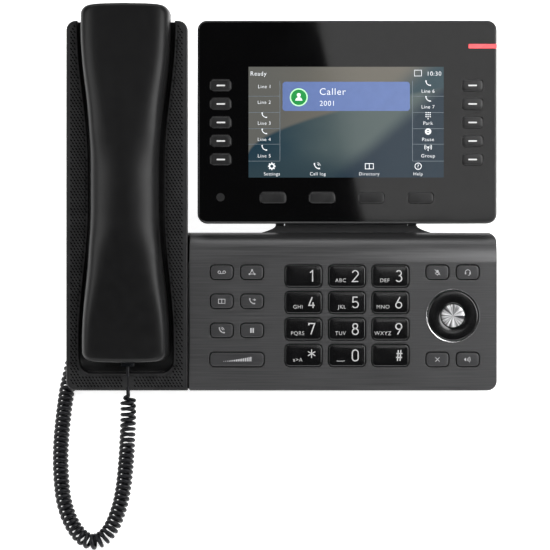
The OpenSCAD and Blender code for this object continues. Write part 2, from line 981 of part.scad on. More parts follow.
cradle_shell();
keypad_panel();
bottom_cover();
foot_stand();
rubber_feet();
network_sockets();
main_board();
loudspeaker();
neck_arm();
hinge_pin();
housing_screws();
display_back();
display_glass();
display_module();
message_lamp();
handset_back();
handset_front();
handset_capsules();
handset_plug();
handset_cord();
base_plug();
dial_key(0, 0);  // dial_key_1
dial_key(0, 1);  // dial_key_2
dial_key(0, 2);  // dial_key_3
dial_key(1, 0);  // dial_key_4
dial_key(1, 1);  // dial_key_5
dial_key(1, 2);  // dial_key_6
dial_key(2, 0);  // dial_key_7
dial_key(2, 1);  // dial_key_8
dial_key(2, 2);  // dial_key_9
dial_key(3, 0);  // dial_key_star
dial_key(3, 1);  // dial_key_0
dial_key(3, 2);  // dial_key_hash
function_key_cap(left_keys_u, 0, 0);  // voicemail_key
function_key_cap(left_keys_u, 0, 1);  // conference_key
function_key_cap(left_keys_u, 1, 0);  // contacts_key
function_key_cap(left_keys_u, 1, 1);  // transfer_key
function_key_cap(left_keys_u, 2, 0);  // call_log_key
function_key_cap(left_keys_u, 2, 1);  // hold_key
volume_rocker();
function_key_cap(right_keys_u, 0, 0);  // mute_key
function_key_cap(right_keys_u, 0, 1);  // headset_key
function_key_cap(right_keys_u, 3, 0);  // end_call_key
function_key_cap(right_keys_u, 3, 1);  // loudspeaker_key
navigation_ring();
ok_button();
line_key_cap(0, 0);  // line_key_1
line_key_cap(0, 1);  // line_key_2
line_key_cap(0, 2);  // line_key_3
line_key_cap(0, 3);  // line_key_4
line_key_cap(0, 4);  // line_key_5
line_key_cap(1, 0);  // line_key_6
line_key_cap(1, 1);  // line_key_7
line_key_cap(1, 2);  // line_key_8
line_key_cap(1, 3);  // line_key_9
line_key_cap(1, 4);  // line_key_10
soft_key_cap(0);  // soft_key_1
soft_key_cap(1);  // soft_key_2
soft_key_cap(2);  // soft_key_3
soft_key_cap(3);  // soft_key_4
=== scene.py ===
"""Looks of the desk IP phone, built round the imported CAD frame.

Shapes are drawn in millimetres in the phone's face frame: u to the right, v up the slope and
w out of the face. FACE lays that frame back by the stand angle and scales it to metres.
"""

import math

import bmesh
import bpy
from mathutils import Matrix, Vector


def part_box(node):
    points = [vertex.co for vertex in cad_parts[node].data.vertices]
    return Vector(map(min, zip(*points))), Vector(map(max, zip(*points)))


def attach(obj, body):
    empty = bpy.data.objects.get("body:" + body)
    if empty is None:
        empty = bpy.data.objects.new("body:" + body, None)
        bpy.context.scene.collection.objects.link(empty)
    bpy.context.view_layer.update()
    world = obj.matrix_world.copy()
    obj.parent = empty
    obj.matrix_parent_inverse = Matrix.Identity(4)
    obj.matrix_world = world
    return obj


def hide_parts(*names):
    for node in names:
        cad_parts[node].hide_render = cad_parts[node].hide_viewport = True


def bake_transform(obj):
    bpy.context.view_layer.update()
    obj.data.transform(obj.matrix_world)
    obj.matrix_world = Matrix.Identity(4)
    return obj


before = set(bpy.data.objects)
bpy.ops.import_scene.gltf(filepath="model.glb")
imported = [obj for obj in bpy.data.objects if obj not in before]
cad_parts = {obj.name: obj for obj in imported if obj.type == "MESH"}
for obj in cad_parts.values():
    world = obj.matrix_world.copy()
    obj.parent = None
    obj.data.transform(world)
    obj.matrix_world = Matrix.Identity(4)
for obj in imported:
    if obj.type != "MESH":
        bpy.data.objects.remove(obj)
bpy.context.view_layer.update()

# ---------------------------------------------------------------- driving dimensions (mm)

MM = 0.001
STAND_ANGLE = 28
FRONT_HEIGHT = 18

LEFT, RIGHT = -122.2, 122.2
COLUMN_RIGHT = -53.3
PAD_LEFT = -52.4
COLUMN_LENGTH = 210.0
PAD_LENGTH = 89.9
ROLL_LENGTH, ROLL_DEPTH = 17.0, 11.5
RIM = 10.0
CORNER_R = 5.4

HEAD_LEFT = -47.7
HEAD_V0, HEAD_V1 = 94.8, 210.1
HEAD_THICK = 12.0
SCREEN_LOW, SCREEN_HIGH = (-18.7, 120.9), (92.0, 183.7)

HANDSET_U = -88.2
HANDSET_V0, HANDSET_V1 = 16.4, 218.6
WAIST_V = 112.0
WAIST, EAR_END, MOUTH_END = 38.3, 51.0, 49.3
GRIP, HANDSET_LOW = 8.0, -6.5
RECESS_GAP = 2.2
RECESS_V0 = 10.0
RECESS_DEPTH, WELL_DEPTH = 4.5, 7.0
MOUTH_WELL_END, EAR_WELL_START = 66.0, 160.0
CORD_U, CORD_W = -87.2, -1.0

PAD_U = 37.1
DIAL_PITCH = (24.65, 15.0)
DIAL_TOP_V = 65.0
DIAL_KEY = (20.6, 12.2)
DIAL_R = 2.4
FUNCTION_KEY = (12.5, 7.7)
FUNCTION_R = 2.2
FUNCTION_PITCH = (17.2, 16.5)
FUNCTION_TOP_V = 67.2
LEFT_KEYS_U, RIGHT_KEYS_U = -25.3, 97.0
ROCKER = (30.3, 7.7)
RING_CENTRE = (97.2, 42.5)
RING_R, RING_HOLE_R, OK_R = 14.2, 7.1, 6.7
LINE_KEY = (11.3, 6.1)
LINE_R = 1.8
LINE_SPAN_U, LINE_PITCH_V, LINE_MID_V = 142.8, 10.5, 152.1
SOFT_KEY = (14.1, 5.8)
SOFT_PITCH_U, SOFT_V = 27.87, 109.4
KEY_GAP = 0.35
KEY_RISE, LINE_RISE = 1.2, 0.6

# The middle of the cord, in mm of the row frame, from the handset's plug to the base's
LEAD_OUT = [(-87.2, -85.4, 23.4), (-87.1, -98.2, 16.6)]
COIL_ROUTE = [
    (-87, -99.3, 16), (-87, -102.5, 14.8), (-87, -106, 12.5), (-87, -110.2, 9.5), (-87.2, -115, 7.2),
    (-87.4, -121.7, 5.6), (-87.6, -130.2, 4.9), (-88.5, -146.6, 4.9), (-89.9, -158.8, 4.9),
    (-91.8, -167, 4.9), (-94.6, -175.2, 4.9), (-98.8, -181.8, 4.9), (-104.6, -184.9, 4.9),
    (-110.4, -182.8, 4.9), (-115, -177.6, 4.9), (-118.6, -171, 4.9), (-121.3, -163.2, 4.9),
    (-123.1, -154.7, 4.9), (-124.7, -138.3, 4.9), (-124.9, -122, 4.9), (-124, -105.6, 4.9),
    (-122.9, -93.2, 4.9), (-121.8, -85.5, 5.2), (-120.3, -78.5, 7.2), (-118.9, -73.1, 10),
    (-117, -66.9, 13.3), (-115.8, -61.6, 16.1), (-115.5, -57.2, 18.5),
]
LEAD_IN = [(-115.5, -56.6, 18.8), (-115.5, -47.4, 23.7)]
WIRE_D = 2.2
COIL_D = 9.3
COIL_PITCH = 3.25

# ---------------------------------------------------------------- frames

FRONT_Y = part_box("keypad_panel")[0].y
FACE = (
    Matrix.Translation((0, FRONT_Y, FRONT_HEIGHT * MM))
    @ Matrix.Rotation(math.radians(STAND_ANGLE), 4, "X")
)
ROW = Matrix.Identity(4)
scene = bpy.context.scene


def on_face(u, v, w):
    """A point of the face frame, in metres of the row frame."""
    return FACE @ Vector((u * MM, v * MM, w * MM))


# ---------------------------------------------------------------- camera, light and floor

VIEW_U, VIEW_V = -3.7, 65.6
FIELD = 312.0
CAMERA_DISTANCE = 1700.0
CARD_EDGE_LOW, CARD_EDGE_HIGH = (97.3, 126.8), (45.7, 351.4)
CARD_GLOW = 0.27
SENSOR = 36.0


def make_camera():
    data = bpy.data.cameras.new("camera")
    data.sensor_width = SENSOR
    data.lens = SENSOR * CAMERA_DISTANCE / FIELD
    data.clip_end = 20
    camera = bpy.data.objects.new("camera", data)
    scene.collection.objects.link(camera)
    camera.location = on_face(VIEW_U, VIEW_V, CAMERA_DISTANCE)
    camera.rotation_euler = (math.radians(STAND_ANGLE), 0, 0)
    scene.camera = camera


def area_light(name, at, aim, size, power, colour=(1, 1, 1)):
    """A soft box at a point of the row frame, in metres, facing another."""
    data = bpy.data.lights.new(name, "AREA")
    data.shape = "RECTANGLE"
    data.size, data.size_y = size
    data.energy = power
    data.color = colour
    light = bpy.data.objects.new(name, data)
    light.location = at
    light.rotation_euler = (Vector(aim) - Vector(at)).to_track_quat("-Z", "Y").to_euler()
    scene.collection.objects.link(light)
    return light


def make_stage():
    scene.view_settings.view_transform = "Standard"
    world = bpy.data.worlds.new("studio")
    world.use_nodes = True
    nodes, links = world.node_tree.nodes, world.node_tree.links
    background = nodes["Background"]
    coords = nodes.new("ShaderNodeTexCoord")
    split = nodes.new("ShaderNodeSeparateXYZ")
    ramp = nodes.new("ShaderNodeValToRGB")
    links.new(coords.outputs["Generated"], split.inputs[0])
    links.new(split.outputs["Z"], ramp.inputs[0])
    # Bright round the horizon, dark overhead, as under a studio's black ceiling
    ramp.color_ramp.elements[0].position = 0.0
    ramp.color_ramp.elements[0].color = (1, 1, 1, 1)
    ramp.color_ramp.elements[1].position = 0.62
    ramp.color_ramp.elements[1].color = (0.03, 0.03, 0.031, 1)
    links.new(ramp.outputs[0], background.inputs["Color"])
    background.inputs["Strength"].default_value = 0.9
    scene.world = world

    bpy.ops.mesh.primitive_plane_add(size=6, location=(0, 0, 0))
    floor = bpy.context.object
    floor.name = "floor"
    floor.data.materials.append(
        surface("floor", (0.93, 0.93, 0.93), 0.85, specular=0.1, vary=0.01, emission=0.8))

    # A faint card by the camera, whose slanted edge shows in the display's glass
    corners = [(CARD_EDGE_LOW[0], CARD_EDGE_LOW[1]), (330, CARD_EDGE_LOW[1]), (330, CARD_EDGE_HIGH[1] + 60),
               (CARD_EDGE_HIGH[0] - 14, CARD_EDGE_HIGH[1] + 60)]
    mesh = bpy.data.meshes.new("reflection_card")
    mesh.from_pydata([on_face(u, v, CAMERA_DISTANCE + 5) for u, v in corners], [], [(0, 1, 2, 3)])
    card = bpy.data.objects.new("reflection_card", mesh)
    scene.collection.objects.link(card)
    mesh.materials.append(surface("card", (0.8, 0.8, 0.8), 0.9, emission=CARD_GLOW))

    area_light("left_box", (-0.9, -0.2, 0.9), (-0.08, 0.03, 0.08), (0.5, 1.1), 6)
    area_light("right_box", (0.62, -0.22, 0.74), (0.06, 0.0, 0.05), (0.45, 0.9), 8.5)
    area_light("back_box", (0.0, 1.0, 1.25), (0, 0.05, 0.05), (1.6, 0.4), 11)
    area_light("front_box", (0.0, -1.5, 0.6), (0, -0.1, 0.0), (1.6, 0.5), 7)


# ---------------------------------------------------------------- materials


def face_coords(nodes, links, origin=(0, 0, 0), scale=(1, 1, 1)):
    """Face-frame coordinates in metres from an origin in mm, divided by the scale."""
    coords = nodes.new("ShaderNodeTexCoord")
    mapping = nodes.new("ShaderNodeMapping")
    mapping.vector_type = "TEXTURE"
    mapping.inputs["Location"].default_value = on_face(*origin)
    mapping.inputs["Rotation"].default_value = (math.radians(STAND_ANGLE), 0, 0)
    mapping.inputs["Scale"].default_value = scale
    links.new(coords.outputs["Object"], mapping.inputs["Vector"])
    return mapping.outputs[0]


def surface(
    name, colour, rough, *, metallic=0.0, specular=0.5, coat=0.0, vary=0.12, rough_vary=0.08,
    scale=180.0, stretch=(1, 1, 1), bump=0.0, bump_scale=2500.0, edge_paling=0.0,
    transmission=0.0, emission=0.0,
):
    """A material whose colour, roughness and relief drift with noise laid in the piece's own frame."""
    material = bpy.data.materials.new(name)
    material.use_nodes = True
    nodes, links = material.node_tree.nodes, material.node_tree.links
    shader = nodes["Principled BSDF"]
    place_in_face = face_coords(nodes, links, scale=[1 / part for part in stretch])
    noise = nodes.new("ShaderNodeTexNoise")
    noise.inputs["Scale"].default_value = scale
    noise.inputs["Detail"].default_value = 5
    links.new(place_in_face, noise.inputs["Vector"])

    ramp = nodes.new("ShaderNodeValToRGB")
    ramp.color_ramp.elements[0].position = 0.3
    ramp.color_ramp.elements[1].position = 0.7
    ramp.color_ramp.elements[0].color = (*[c * (1 - vary) for c in colour], 1)
    ramp.color_ramp.elements[1].color = (*[min(1, c * (1 + vary)) for c in colour], 1)
    links.new(noise.outputs["Fac"], ramp.inputs[0])
    colour_out = ramp.outputs[0]
    if edge_paling:
        # Sharp outer edges, found by pointiness, turn a little paler
        geometry = nodes.new("ShaderNodeNewGeometry")
        edge = nodes.new("ShaderNodeMapRange")
        edge.inputs["From Min"].default_value = 0.52
        edge.inputs["From Max"].default_value = 0.62
        edge.inputs["To Max"].default_value = edge_paling
        links.new(geometry.outputs["Pointiness"], edge.inputs["Value"])
        mix = nodes.new("ShaderNodeMix")
        mix.data_type = "RGBA"
        mix.inputs["B"].default_value = (*[min(1, c * 2.2 + 0.02) for c in colour], 1)
        links.new(edge.outputs[0], mix.inputs["Factor"])
        links.new(colour_out, mix.inputs["A"])
        colour_out = mix.outputs["Result"]
    links.new(colour_out, shader.inputs["Base Color"])

    spread = nodes.new("ShaderNodeMapRange")
    spread.inputs["From Min"].default_value = 0.3
    spread.inputs["From Max"].default_value = 0.7
    spread.inputs["To Min"].default_value = max(0.02, rough - rough_vary)
    spread.inputs["To Max"].default_value = min(1, rough + rough_vary)
    links.new(noise.outputs["Fac"], spread.inputs["Value"])
    links.new(spread.outputs[0], shader.inputs["Roughness"])

    if bump:
        fine = nodes.new("ShaderNodeTexNoise")
        fine.inputs["Scale"].default_value = bump_scale
        fine.inputs["Detail"].default_value = 3
        links.new(place_in_face, fine.inputs["Vector"])
        relief = nodes.new("ShaderNodeBump")
        relief.inputs["Strength"].default_value = bump
        relief.inputs["Distance"].default_value = 0.0002
        links.new(fine.outputs["Fac"], relief.inputs["Height"])
        links.new(relief.outputs[0], shader.inputs["Normal"])

    shader.inputs["Metallic"].default_value = metallic
    shader.inputs["Specular IOR Level"].default_value = specular
    shader.inputs["Coat Weight"].default_value = coat
    shader.inputs["Coat Roughness"].default_value = 0.06
    shader.inputs["Transmission Weight"].default_value = transmission
    if emission:
        links.new(colour_out, shader.inputs["Emission Color"])
        shader.inputs["Emission Strength"].default_value = emission
    return material


def spun_metal_painted_fans():
    """Turned metal with painted highlights: bright fans, painted into the base colour, run out from the
    middle of the piece's own frame.
    """
    material = surface("spun_metal_painted_fans", (0.7, 0.7, 0.72), 0.36, metallic=0.8, scale=900, rough_vary=0.06)
    nodes, links = material.node_tree.nodes, material.node_tree.links
    shader = nodes["Principled BSDF"]
    split = nodes.new("ShaderNodeSeparateXYZ")
    links.new(face_coords(nodes, links, (*RING_CENTRE, 0)), split.inputs[0])
    angle = nodes.new("ShaderNodeMath")
    angle.operation = "ARCTAN2"
    links.new(split.outputs["Y"], angle.inputs[0])
    links.new(split.outputs["X"], angle.inputs[1])
    painted_fan = nodes.new("ShaderNodeTexNoise")
    painted_fan.noise_dimensions = "1D"
    painted_fan.inputs["Scale"].default_value = 2.3
    painted_fan.inputs["Detail"].default_value = 4
    painted_fan.inputs["Roughness"].default_value = 0.62
    links.new(angle.outputs[0], painted_fan.inputs["W"])
    # Painted highlight: the fans' light and dark are put into the base colour
    ramp = nodes.new("ShaderNodeValToRGB")
    ramp.color_ramp.elements[0].position = 0.42
    ramp.color_ramp.elements[0].color = (0.06, 0.06, 0.065, 1)
    ramp.color_ramp.elements[1].position = 0.58
    ramp.color_ramp.elements[1].color = (0.92, 0.92, 0.93, 1)
    links.new(painted_fan.outputs["Fac"], ramp.inputs[0])
    links.new(ramp.outputs[0], shader.inputs["Base Color"])
    return material


MATERIALS = {}


def make_materials():
    m = MATERIALS
    brushed = dict(stretch=(1, 70, 70), scale=26)
    m["cradle"] = surface("cradle_plastic", (0.012, 0.012, 0.0125), 0.4, bump=0.12, specular=0.42)
    # Near-black paint: painted shade standing for the dark inside of the cradle's pits and of vent slots
    m["painted_shade"] = surface("cradle_pits_painted_shade", (0.001, 0.001, 0.001), 0.8, specular=0.05)
    m["panel"] = surface(
        "brushed_panel", (0.063, 0.063, 0.0645), 0.4, metallic=0.6, vary=0.22, rough_vary=0.06,
        bump=0.03, bump_scale=60, **brushed)
    m["function_key"] = surface(
        "function_key", (0.034, 0.034, 0.0355), 0.4, metallic=0.3, vary=0.12, stretch=(1, 30, 30), scale=60)
    m["case"] = surface("case_plastic", (0.016, 0.016, 0.017), 0.55, bump=0.35, bump_scale=3500, edge_paling=0.3)
    m["head"] = surface("head_plastic", (0.009, 0.009, 0.0095), 0.36, bump=0.08)
    m["glass"] = surface("cover_glass", (0.0012, 0.0012, 0.0013), 0.035, rough_vary=0.01, scale=40)
    m["handset"] = surface(
        "handset_plastic", (0.0025, 0.0025, 0.0027), 0.37, rough_vary=0.02, bump=0.04, specular=0.24)
    m["handset_seam"] = surface("handset_seam", (0.004, 0.004, 0.004), 0.6)
    m["dial_key"] = surface("dial_key", (0.0025, 0.0025, 0.0027), 0.17, coat=0.3, rough_vary=0.04)
    m["line_key"] = surface("line_key", (0.006, 0.006, 0.0063), 0.34, rough_vary=0.05)
    m["legend"] = surface("legend_ink", (0.46, 0.46, 0.46), 0.5, vary=0.05)
    m["legend_dim"] = surface("legend_dim", (0.42, 0.42, 0.43), 0.5, vary=0.05)
    m["dash"] = surface("line_dash", (0.6, 0.6, 0.6), 0.4, vary=0.03)
    m["lamp"] = surface("lamp_red", (0.78, 0.07, 0.08), 0.3, vary=0.06, emission=0.75, scale=60)
    m["chrome"] = surface("ring_chrome", (0.86, 0.86, 0.87), 0.2, metallic=1.0, rough_vary=0.05, vary=0.04)
    m["spun"] = spun_metal_painted_fans()
    m["cord"] = surface(
        "cord_jacket", (0.0015, 0.0017, 0.0035), 0.36, rough_vary=0.05, bump=0.08, specular=0.26)
    m["plug"] = surface("plug_shell", (0.006, 0.007, 0.009), 0.22, transmission=0.1, specular=0.5)
    m["contact"] = surface("plug_gold", (0.85, 0.62, 0.25), 0.25, metallic=1.0)
    m["rubber"] = surface("foot_rubber", (0.02, 0.02, 0.02), 0.85, bump=0.4, specular=0.25)
    m["steel"] = surface("plated_steel", (0.45, 0.45, 0.46), 0.34, metallic=1.0, rough_vary=0.1)
    m["board"] = surface("board_mask", (0.02, 0.09, 0.045), 0.4, vary=0.3, scale=400)
    m["dark"] = surface("inner_dark", (0.01, 0.01, 0.01), 0.6, bump=0.1)


# ---------------------------------------------------------------- outlines (lists of points, mm)


def arc(cu, cv, r, a0, a1, steps):
    """Points on an arc, from angle a0 to a1 in degrees."""
    angles = [math.radians(a0 + (a1 - a0) * i / steps) for i in range(steps + 1)]
    return [(cu + r * math.cos(a), cv + r * math.sin(a)) for a in angles]


def rounded(low, high, radii, steps=6):
    """A rectangle with a radius at each corner: lower left, lower right, upper right, upper left."""
    (u0, v0), (u1, v1) = low, high
    corners = ((u0, v0, 1, 1, 180), (u1, v0, -1, 1, 270), (u1, v1, -1, -1, 0), (u0, v1, 1, -1, 90))
    points = []
    for (cu, cv, su, sv, a0), r in zip(corners, radii):
        r = max(r, 0.01)
        points += arc(cu + su * r, cv + sv * r, r, a0, a0 + 90, steps)
    return points


def round_rect(centre, size, r, steps=6):
    (cu, cv), (w, h) = centre, size
    return rounded((cu - w / 2, cv - h / 2), (cu + w / 2, cv + h / 2), (r,) * 4, steps)


def circle(centre, r, steps=48):
    return arc(centre[0], centre[1], r, 0, 360 - 360 / steps, steps - 1)


def ease(x):
    return (1 - math.cos(math.pi * min(max(x, 0), 1))) / 2


# ---------------------------------------------------------------- mesh tools


def loft(rings, cap_first=True, cap_last=True, closed=True):
    """Faces between rings of points of equal length."""
    count = len(rings[0])
    verts = [p for ring in rings for p in ring]
    faces = []
    for i in range(len(rings) - 1):
        for k in range(count if closed else count - 1):
            a, b = i * count + k, i * count + (k + 1) % count
            faces.append((a, b, b + count, a + count))
    if cap_first:
        faces.append(tuple(reversed(range(count))))
    if cap_last:
        faces.append(tuple(range((len(rings) - 1) * count, len(rings) * count)))
    return verts, faces


def join(*parts):
    """Several (verts, faces) as one."""
    verts, faces = [], []
    for part_verts, part_faces in parts:
        start = len(verts)
        verts += part_verts
        faces += [tuple(i + start for i in face) for face in part_faces]
    return verts, faces


def build_mesh(name, shape, sharp=38):
    verts, faces = shape
    mesh = bpy.data.meshes.new(name)
    mesh.from_pydata([Vector(p) * MM for p in verts], [], faces)
    bm = bmesh.new()
    bm.from_mesh(mesh)
    bmesh.ops.remove_doubles(bm, verts=bm.verts, dist=1e-6)
    bmesh.ops.recalc_face_normals(bm, faces=bm.faces)
    bm.to_mesh(mesh)
    bm.free()
    finish_mesh(mesh, sharp)
    return mesh


def finish_mesh(mesh, sharp=38):
    mesh.polygons.foreach_set("use_smooth", [True] * len(mesh.polygons))
    mesh.set_sharp_from_angle(angle=math.radians(sharp))


def place(name, mesh, material, body, replaces=(), at=FACE, weighted=False):
    """Makes a piece of the phone from a mesh drawn in the frame at, and lets it ride on its body."""
    mesh.transform(at)
    piece = bpy.data.objects.new(name, mesh)
    scene.collection.objects.link(piece)
    if not mesh.materials:
        mesh.materials.append(MATERIALS[material])
    if weighted:
        piece.modifiers.new("weighted_normals", "WEIGHTED_NORMAL").keep_sharp = True
    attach(piece, body)
    if replaces:
        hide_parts(*replaces)
    return piece


def plate_mesh(name, outer, holes, top, thick, bevel, resolution=3, sharp=50):
    """A flat plate with holes, and every edge rounded over."""
    curve = bpy.data.curves.new(name, "CURVE")
    curve.dimensions = "2D"
    curve.fill_mode = "BOTH"
    for points in [outer, *holes]:
        spline = curve.splines.new("POLY")
        spline.points.add(len(points) - 1)
        for point, (u, v) in zip(spline.points, points):
            point.co = (u * MM, v * MM, 0, 1)
        spline.use_cyclic_u = True
    curve.extrude = (thick / 2 - bevel) * MM
    curve.bevel_depth = bevel * MM
    curve.bevel_resolution = resolution
    curve.offset = -bevel * MM
    mould = bpy.data.objects.new(name, curve)
    scene.collection.objects.link(mould)
    bpy.context.view_layer.update()
    mesh = bpy.data.meshes.new_from_object(mould.evaluated_get(bpy.context.evaluated_depsgraph_get()))
    bpy.data.objects.remove(mould)
    bpy.data.curves.remove(curve)
    mesh.transform(Matrix.Translation((0, 0, (top - thick / 2) * MM)))
    bm = bmesh.new()
    bm.from_mesh(mesh)
    bmesh.ops.remove_doubles(bm, verts=bm.verts, dist=2e-7)
    bm.to_mesh(mesh)
    bm.free()
    finish_mesh(mesh, sharp)
    return mesh


def plate(name, outer, holes, top, thick, bevel, material, body, slot, replaces=(), at=FACE, **shape):
    mesh = plate_mesh(name, outer, holes, top, thick, bevel, **shape)
    return place(name, mesh, material, body, replaces, at=at, weighted=True)


# ---------------------------------------------------------------- print: strokes, discs and text


def stroke(points, width, closed=False):
    """Flat faces along a line of points, with mitred corners."""
    count = len(points)
    sides = []
    for i, p in enumerate(points):
        before = points[i - 1] if i or closed else None
        after = points[(i + 1) % count] if i < count - 1 or closed else None
        ways = []
        for a, b in ((before, p), (p, after)):
            if a is not None and b is not None:
                ways.append((Vector(b) - Vector(a)).normalized())
        mean = (ways[0] + ways[-1]).normalized()
        normal = Vector((-mean.y, mean.x))
        grow = min(2.0, 1 / max(0.3, mean.dot(ways[0])))
        sides.append((Vector(p) + normal * width / 2 * grow, Vector(p) - normal * width / 2 * grow))
    faces = []
    for i in range(count if closed else count - 1):
        (a, b), (c, d) = sides[i], sides[(i + 1) % count]
        faces.append([b, d, c, a])
    return faces


def disc(centre, r, steps=20):
    return [[Vector(p) for p in circle(centre, r, steps)]]


def hoop(centre, r, width, steps=28):
    return stroke(circle(centre, r, steps), width, closed=True)


def bar(low, high):
    (u0, v0), (u1, v1) = low, high
    return [[Vector((u0, v0)), Vector((u1, v0)), Vector((u1, v1)), Vector((u0, v1))]]


def shift(faces, du, dv, scale=1.0):
    return [[Vector((p[0] * scale + du, p[1] * scale + dv)) for p in face] for face in faces]


GLYPHS = {}


def text(body, height, at, align="CENTER"):
    """Flat faces of a line of plain text whose capitals have the height; at is its baseline."""
    if body not in GLYPHS:
        data = bpy.data.curves.new("glyph", "FONT")
        data.body = body
        data.offset = -0.006
        data.space_character = 1.12
        data.resolution_u = 4
        mould = bpy.data.objects.new("glyph", data)
        scene.collection.objects.link(mould)
        bpy.context.view_layer.update()
        mesh = bpy.data.meshes.new_from_object(mould.evaluated_get(bpy.context.evaluated_depsgraph_get()))
        faces = [[Vector(mesh.vertices[i].co.xy) for i in p.vertices] for p in mesh.polygons]
        bpy.data.objects.remove(mould)
        bpy.data.curves.remove(data)
        bpy.data.meshes.remove(mesh)
        GLYPHS[body] = faces
    faces = GLYPHS[body]
    us = [p.x for face in faces for p in face]
    cap_height = 0.729
    scale = height / cap_height
    width = (max(us) - min(us)) * scale
    start = {"CENTER": -width / 2, "RIGHT": -width, "LEFT": 0}[align] - min(us) * scale
    return shift(faces, at[0] + start, at[1], scale)


def print_mesh(name, faces, low, high):
    """Flat faces drawn out into a thin solid between two heights."""
    bm = bmesh.new()
    for face in faces:
        bm.faces.new([bm.verts.new((p[0] * MM, p[1] * MM, low * MM)) for p in face])
    bmesh.ops.remove_doubles(bm, verts=bm.verts, dist=1e-7)
    bmesh.ops.recalc_face_normals(bm, faces=bm.faces)
    for face in bm.faces:
        if face.normal.z < 0:
            face.normal_flip()
    top = bmesh.ops.extrude_face_region(bm, geom=bm.faces[:])
    lifted = [v for v in top["geom"] if isinstance(v, bmesh.types.BMVert)]
    bmesh.ops.translate(bm, verts=lifted, vec=(0, 0, (high - low) * MM))
    bmesh.ops.recalc_face_normals(bm, faces=bm.faces)
    mesh = bpy.data.meshes.new(name)
    bm.to_mesh(mesh)
    bm.free()
    return mesh


# ---------------------------------------------------------------- icons, about 4 mm across


def phone_icon():
    body = [(-1.5, 1.5), (-1.3, 0.5), (-0.6, -0.6), (0.5, -1.3), (1.5, -1.5)]
    ends = bar((-1.8, 0.9), (-1.0, 1.9)) + bar((0.9, -1.8), (1.9, -1.0))
    return stroke(body, 0.5) + ends


def waves(at, radii, half_angle, width, turn=0):
    low, high = turn - half_angle, turn + half_angle
    return [face for r in radii for face in stroke(arc(at[0], at[1], r, low, high, 8), width)]


def book_icon():
    page = [(-2, -1.3), (2, -1.3), (2, 1.3), (-2, 1.3)]
    return stroke(page, 0.32, closed=True) + bar((-0.16, -1.3), (0.16, 1.3))


ICONS = {
    "voicemail_key": lambda: hoop((-1.5, 0), 0.8, 0.34) + hoop((1.5, 0), 0.8, 0.34)
    + bar((-1.5, -0.97), (1.5, -0.63)),
    "conference_key": lambda: stroke([(0, 1.2), (-1.5, -1.1), (1.5, -1.1)], 0.32, closed=True)
    + disc((0, 1.3), 0.55) + disc((-1.6, -1.2), 0.55) + disc((1.6, -1.2), 0.55),
    "contacts_key": book_icon,
    "transfer_key": lambda: phone_icon() + stroke([(0.4, 0.9), (2.0, 0.9)], 0.35)
    + stroke([(1.4, 1.5), (2.1, 0.9), (1.4, 0.3)], 0.35),
    "call_log_key": lambda: phone_icon() + waves((-0.4, 0), (1.1, 1.9), 40, 0.34, 45),
    "hold_key": lambda: bar((-1.1, -1.5), (-0.3, 1.5)) + bar((0.3, -1.5), (1.1, 1.5)),
    "mute_key": lambda: disc((0, 0.6), 0.75) + bar((-0.75, -0.4), (0.75, 0.6))
    + stroke(arc(0, -0.2, 1.3, 180, 360, 10), 0.3) + bar((-0.16, -2.1), (0.16, -1.5))
    + stroke([(-1.7, 1.7), (1.7, -1.8)], 0.3),
    "headset_key": lambda: stroke(arc(0, 0, 1.5, -30, 210, 14), 0.34) + bar((-1.8, -1.3), (-1.0, -0.1))
    + bar((1.0, -1.3), (1.8, -0.1)) + stroke([(1.4, -1.3), (0.9, -1.9), (0.1, -1.9)], 0.3),
    "end_call_key": lambda: stroke([(-1.3, 1.3), (1.3, -1.3)], 0.36)
    + stroke([(-1.3, -1.3), (1.3, 1.3)], 0.36),
    "loudspeaker_key": lambda: bar((-2.1, -0.5), (-1.5, 0.5)) + stroke([(-1.3, -0.9), (-1.3, 0.9)], 0.5)
    + waves((-1.2, 0), (1.1, 1.9, 2.7), 38, 0.32),
}


# ---------------------------------------------------------------- handset


def half_width(v):
    if v > WAIST_V:
        return WAIST / 2 + (EAR_END - WAIST) / 2 * ease((v - WAIST_V - 15) / 80)
    return WAIST / 2 + (MOUTH_END - WAIST) / 2 * ease((WAIST_V - v - 8) / 77)


def handset_arch(v):
    reach = (v - 142) / 34 if v > WAIST_V else (86 - v) / 34
    return GRIP - (GRIP - HANDSET_LOW) * ease(reach)


def handset_top(v):
    return 24.9 - 6 * ((v - WAIST_V) / ((HANDSET_V1 - HANDSET_V0) / 2)) ** 2


def handset_stations():
    """Values of v for the sections: close together at the two ends."""
    ends = [0, 0.25, 0.8, 1.6, 2.6, 3.8, 5.2, 7]
    middle = [7 + (HANDSET_V1 - HANDSET_V0 - 14) * i / 46 for i in range(1, 46)]
    span = HANDSET_V1 - HANDSET_V0
    return [HANDSET_V0 + d for d in ends + middle + [span - d for d in reversed(ends)]]


def end_distance(v):
    return min(v - HANDSET_V0, HANDSET_V1 - v)


def corner_loss(distance, r):
    """How far a rounded corner of radius r has pulled in, at a distance from the end."""
    gap = max(0.0, r - distance)
    return r - math.sqrt(max(0.0, r * r - gap * gap))


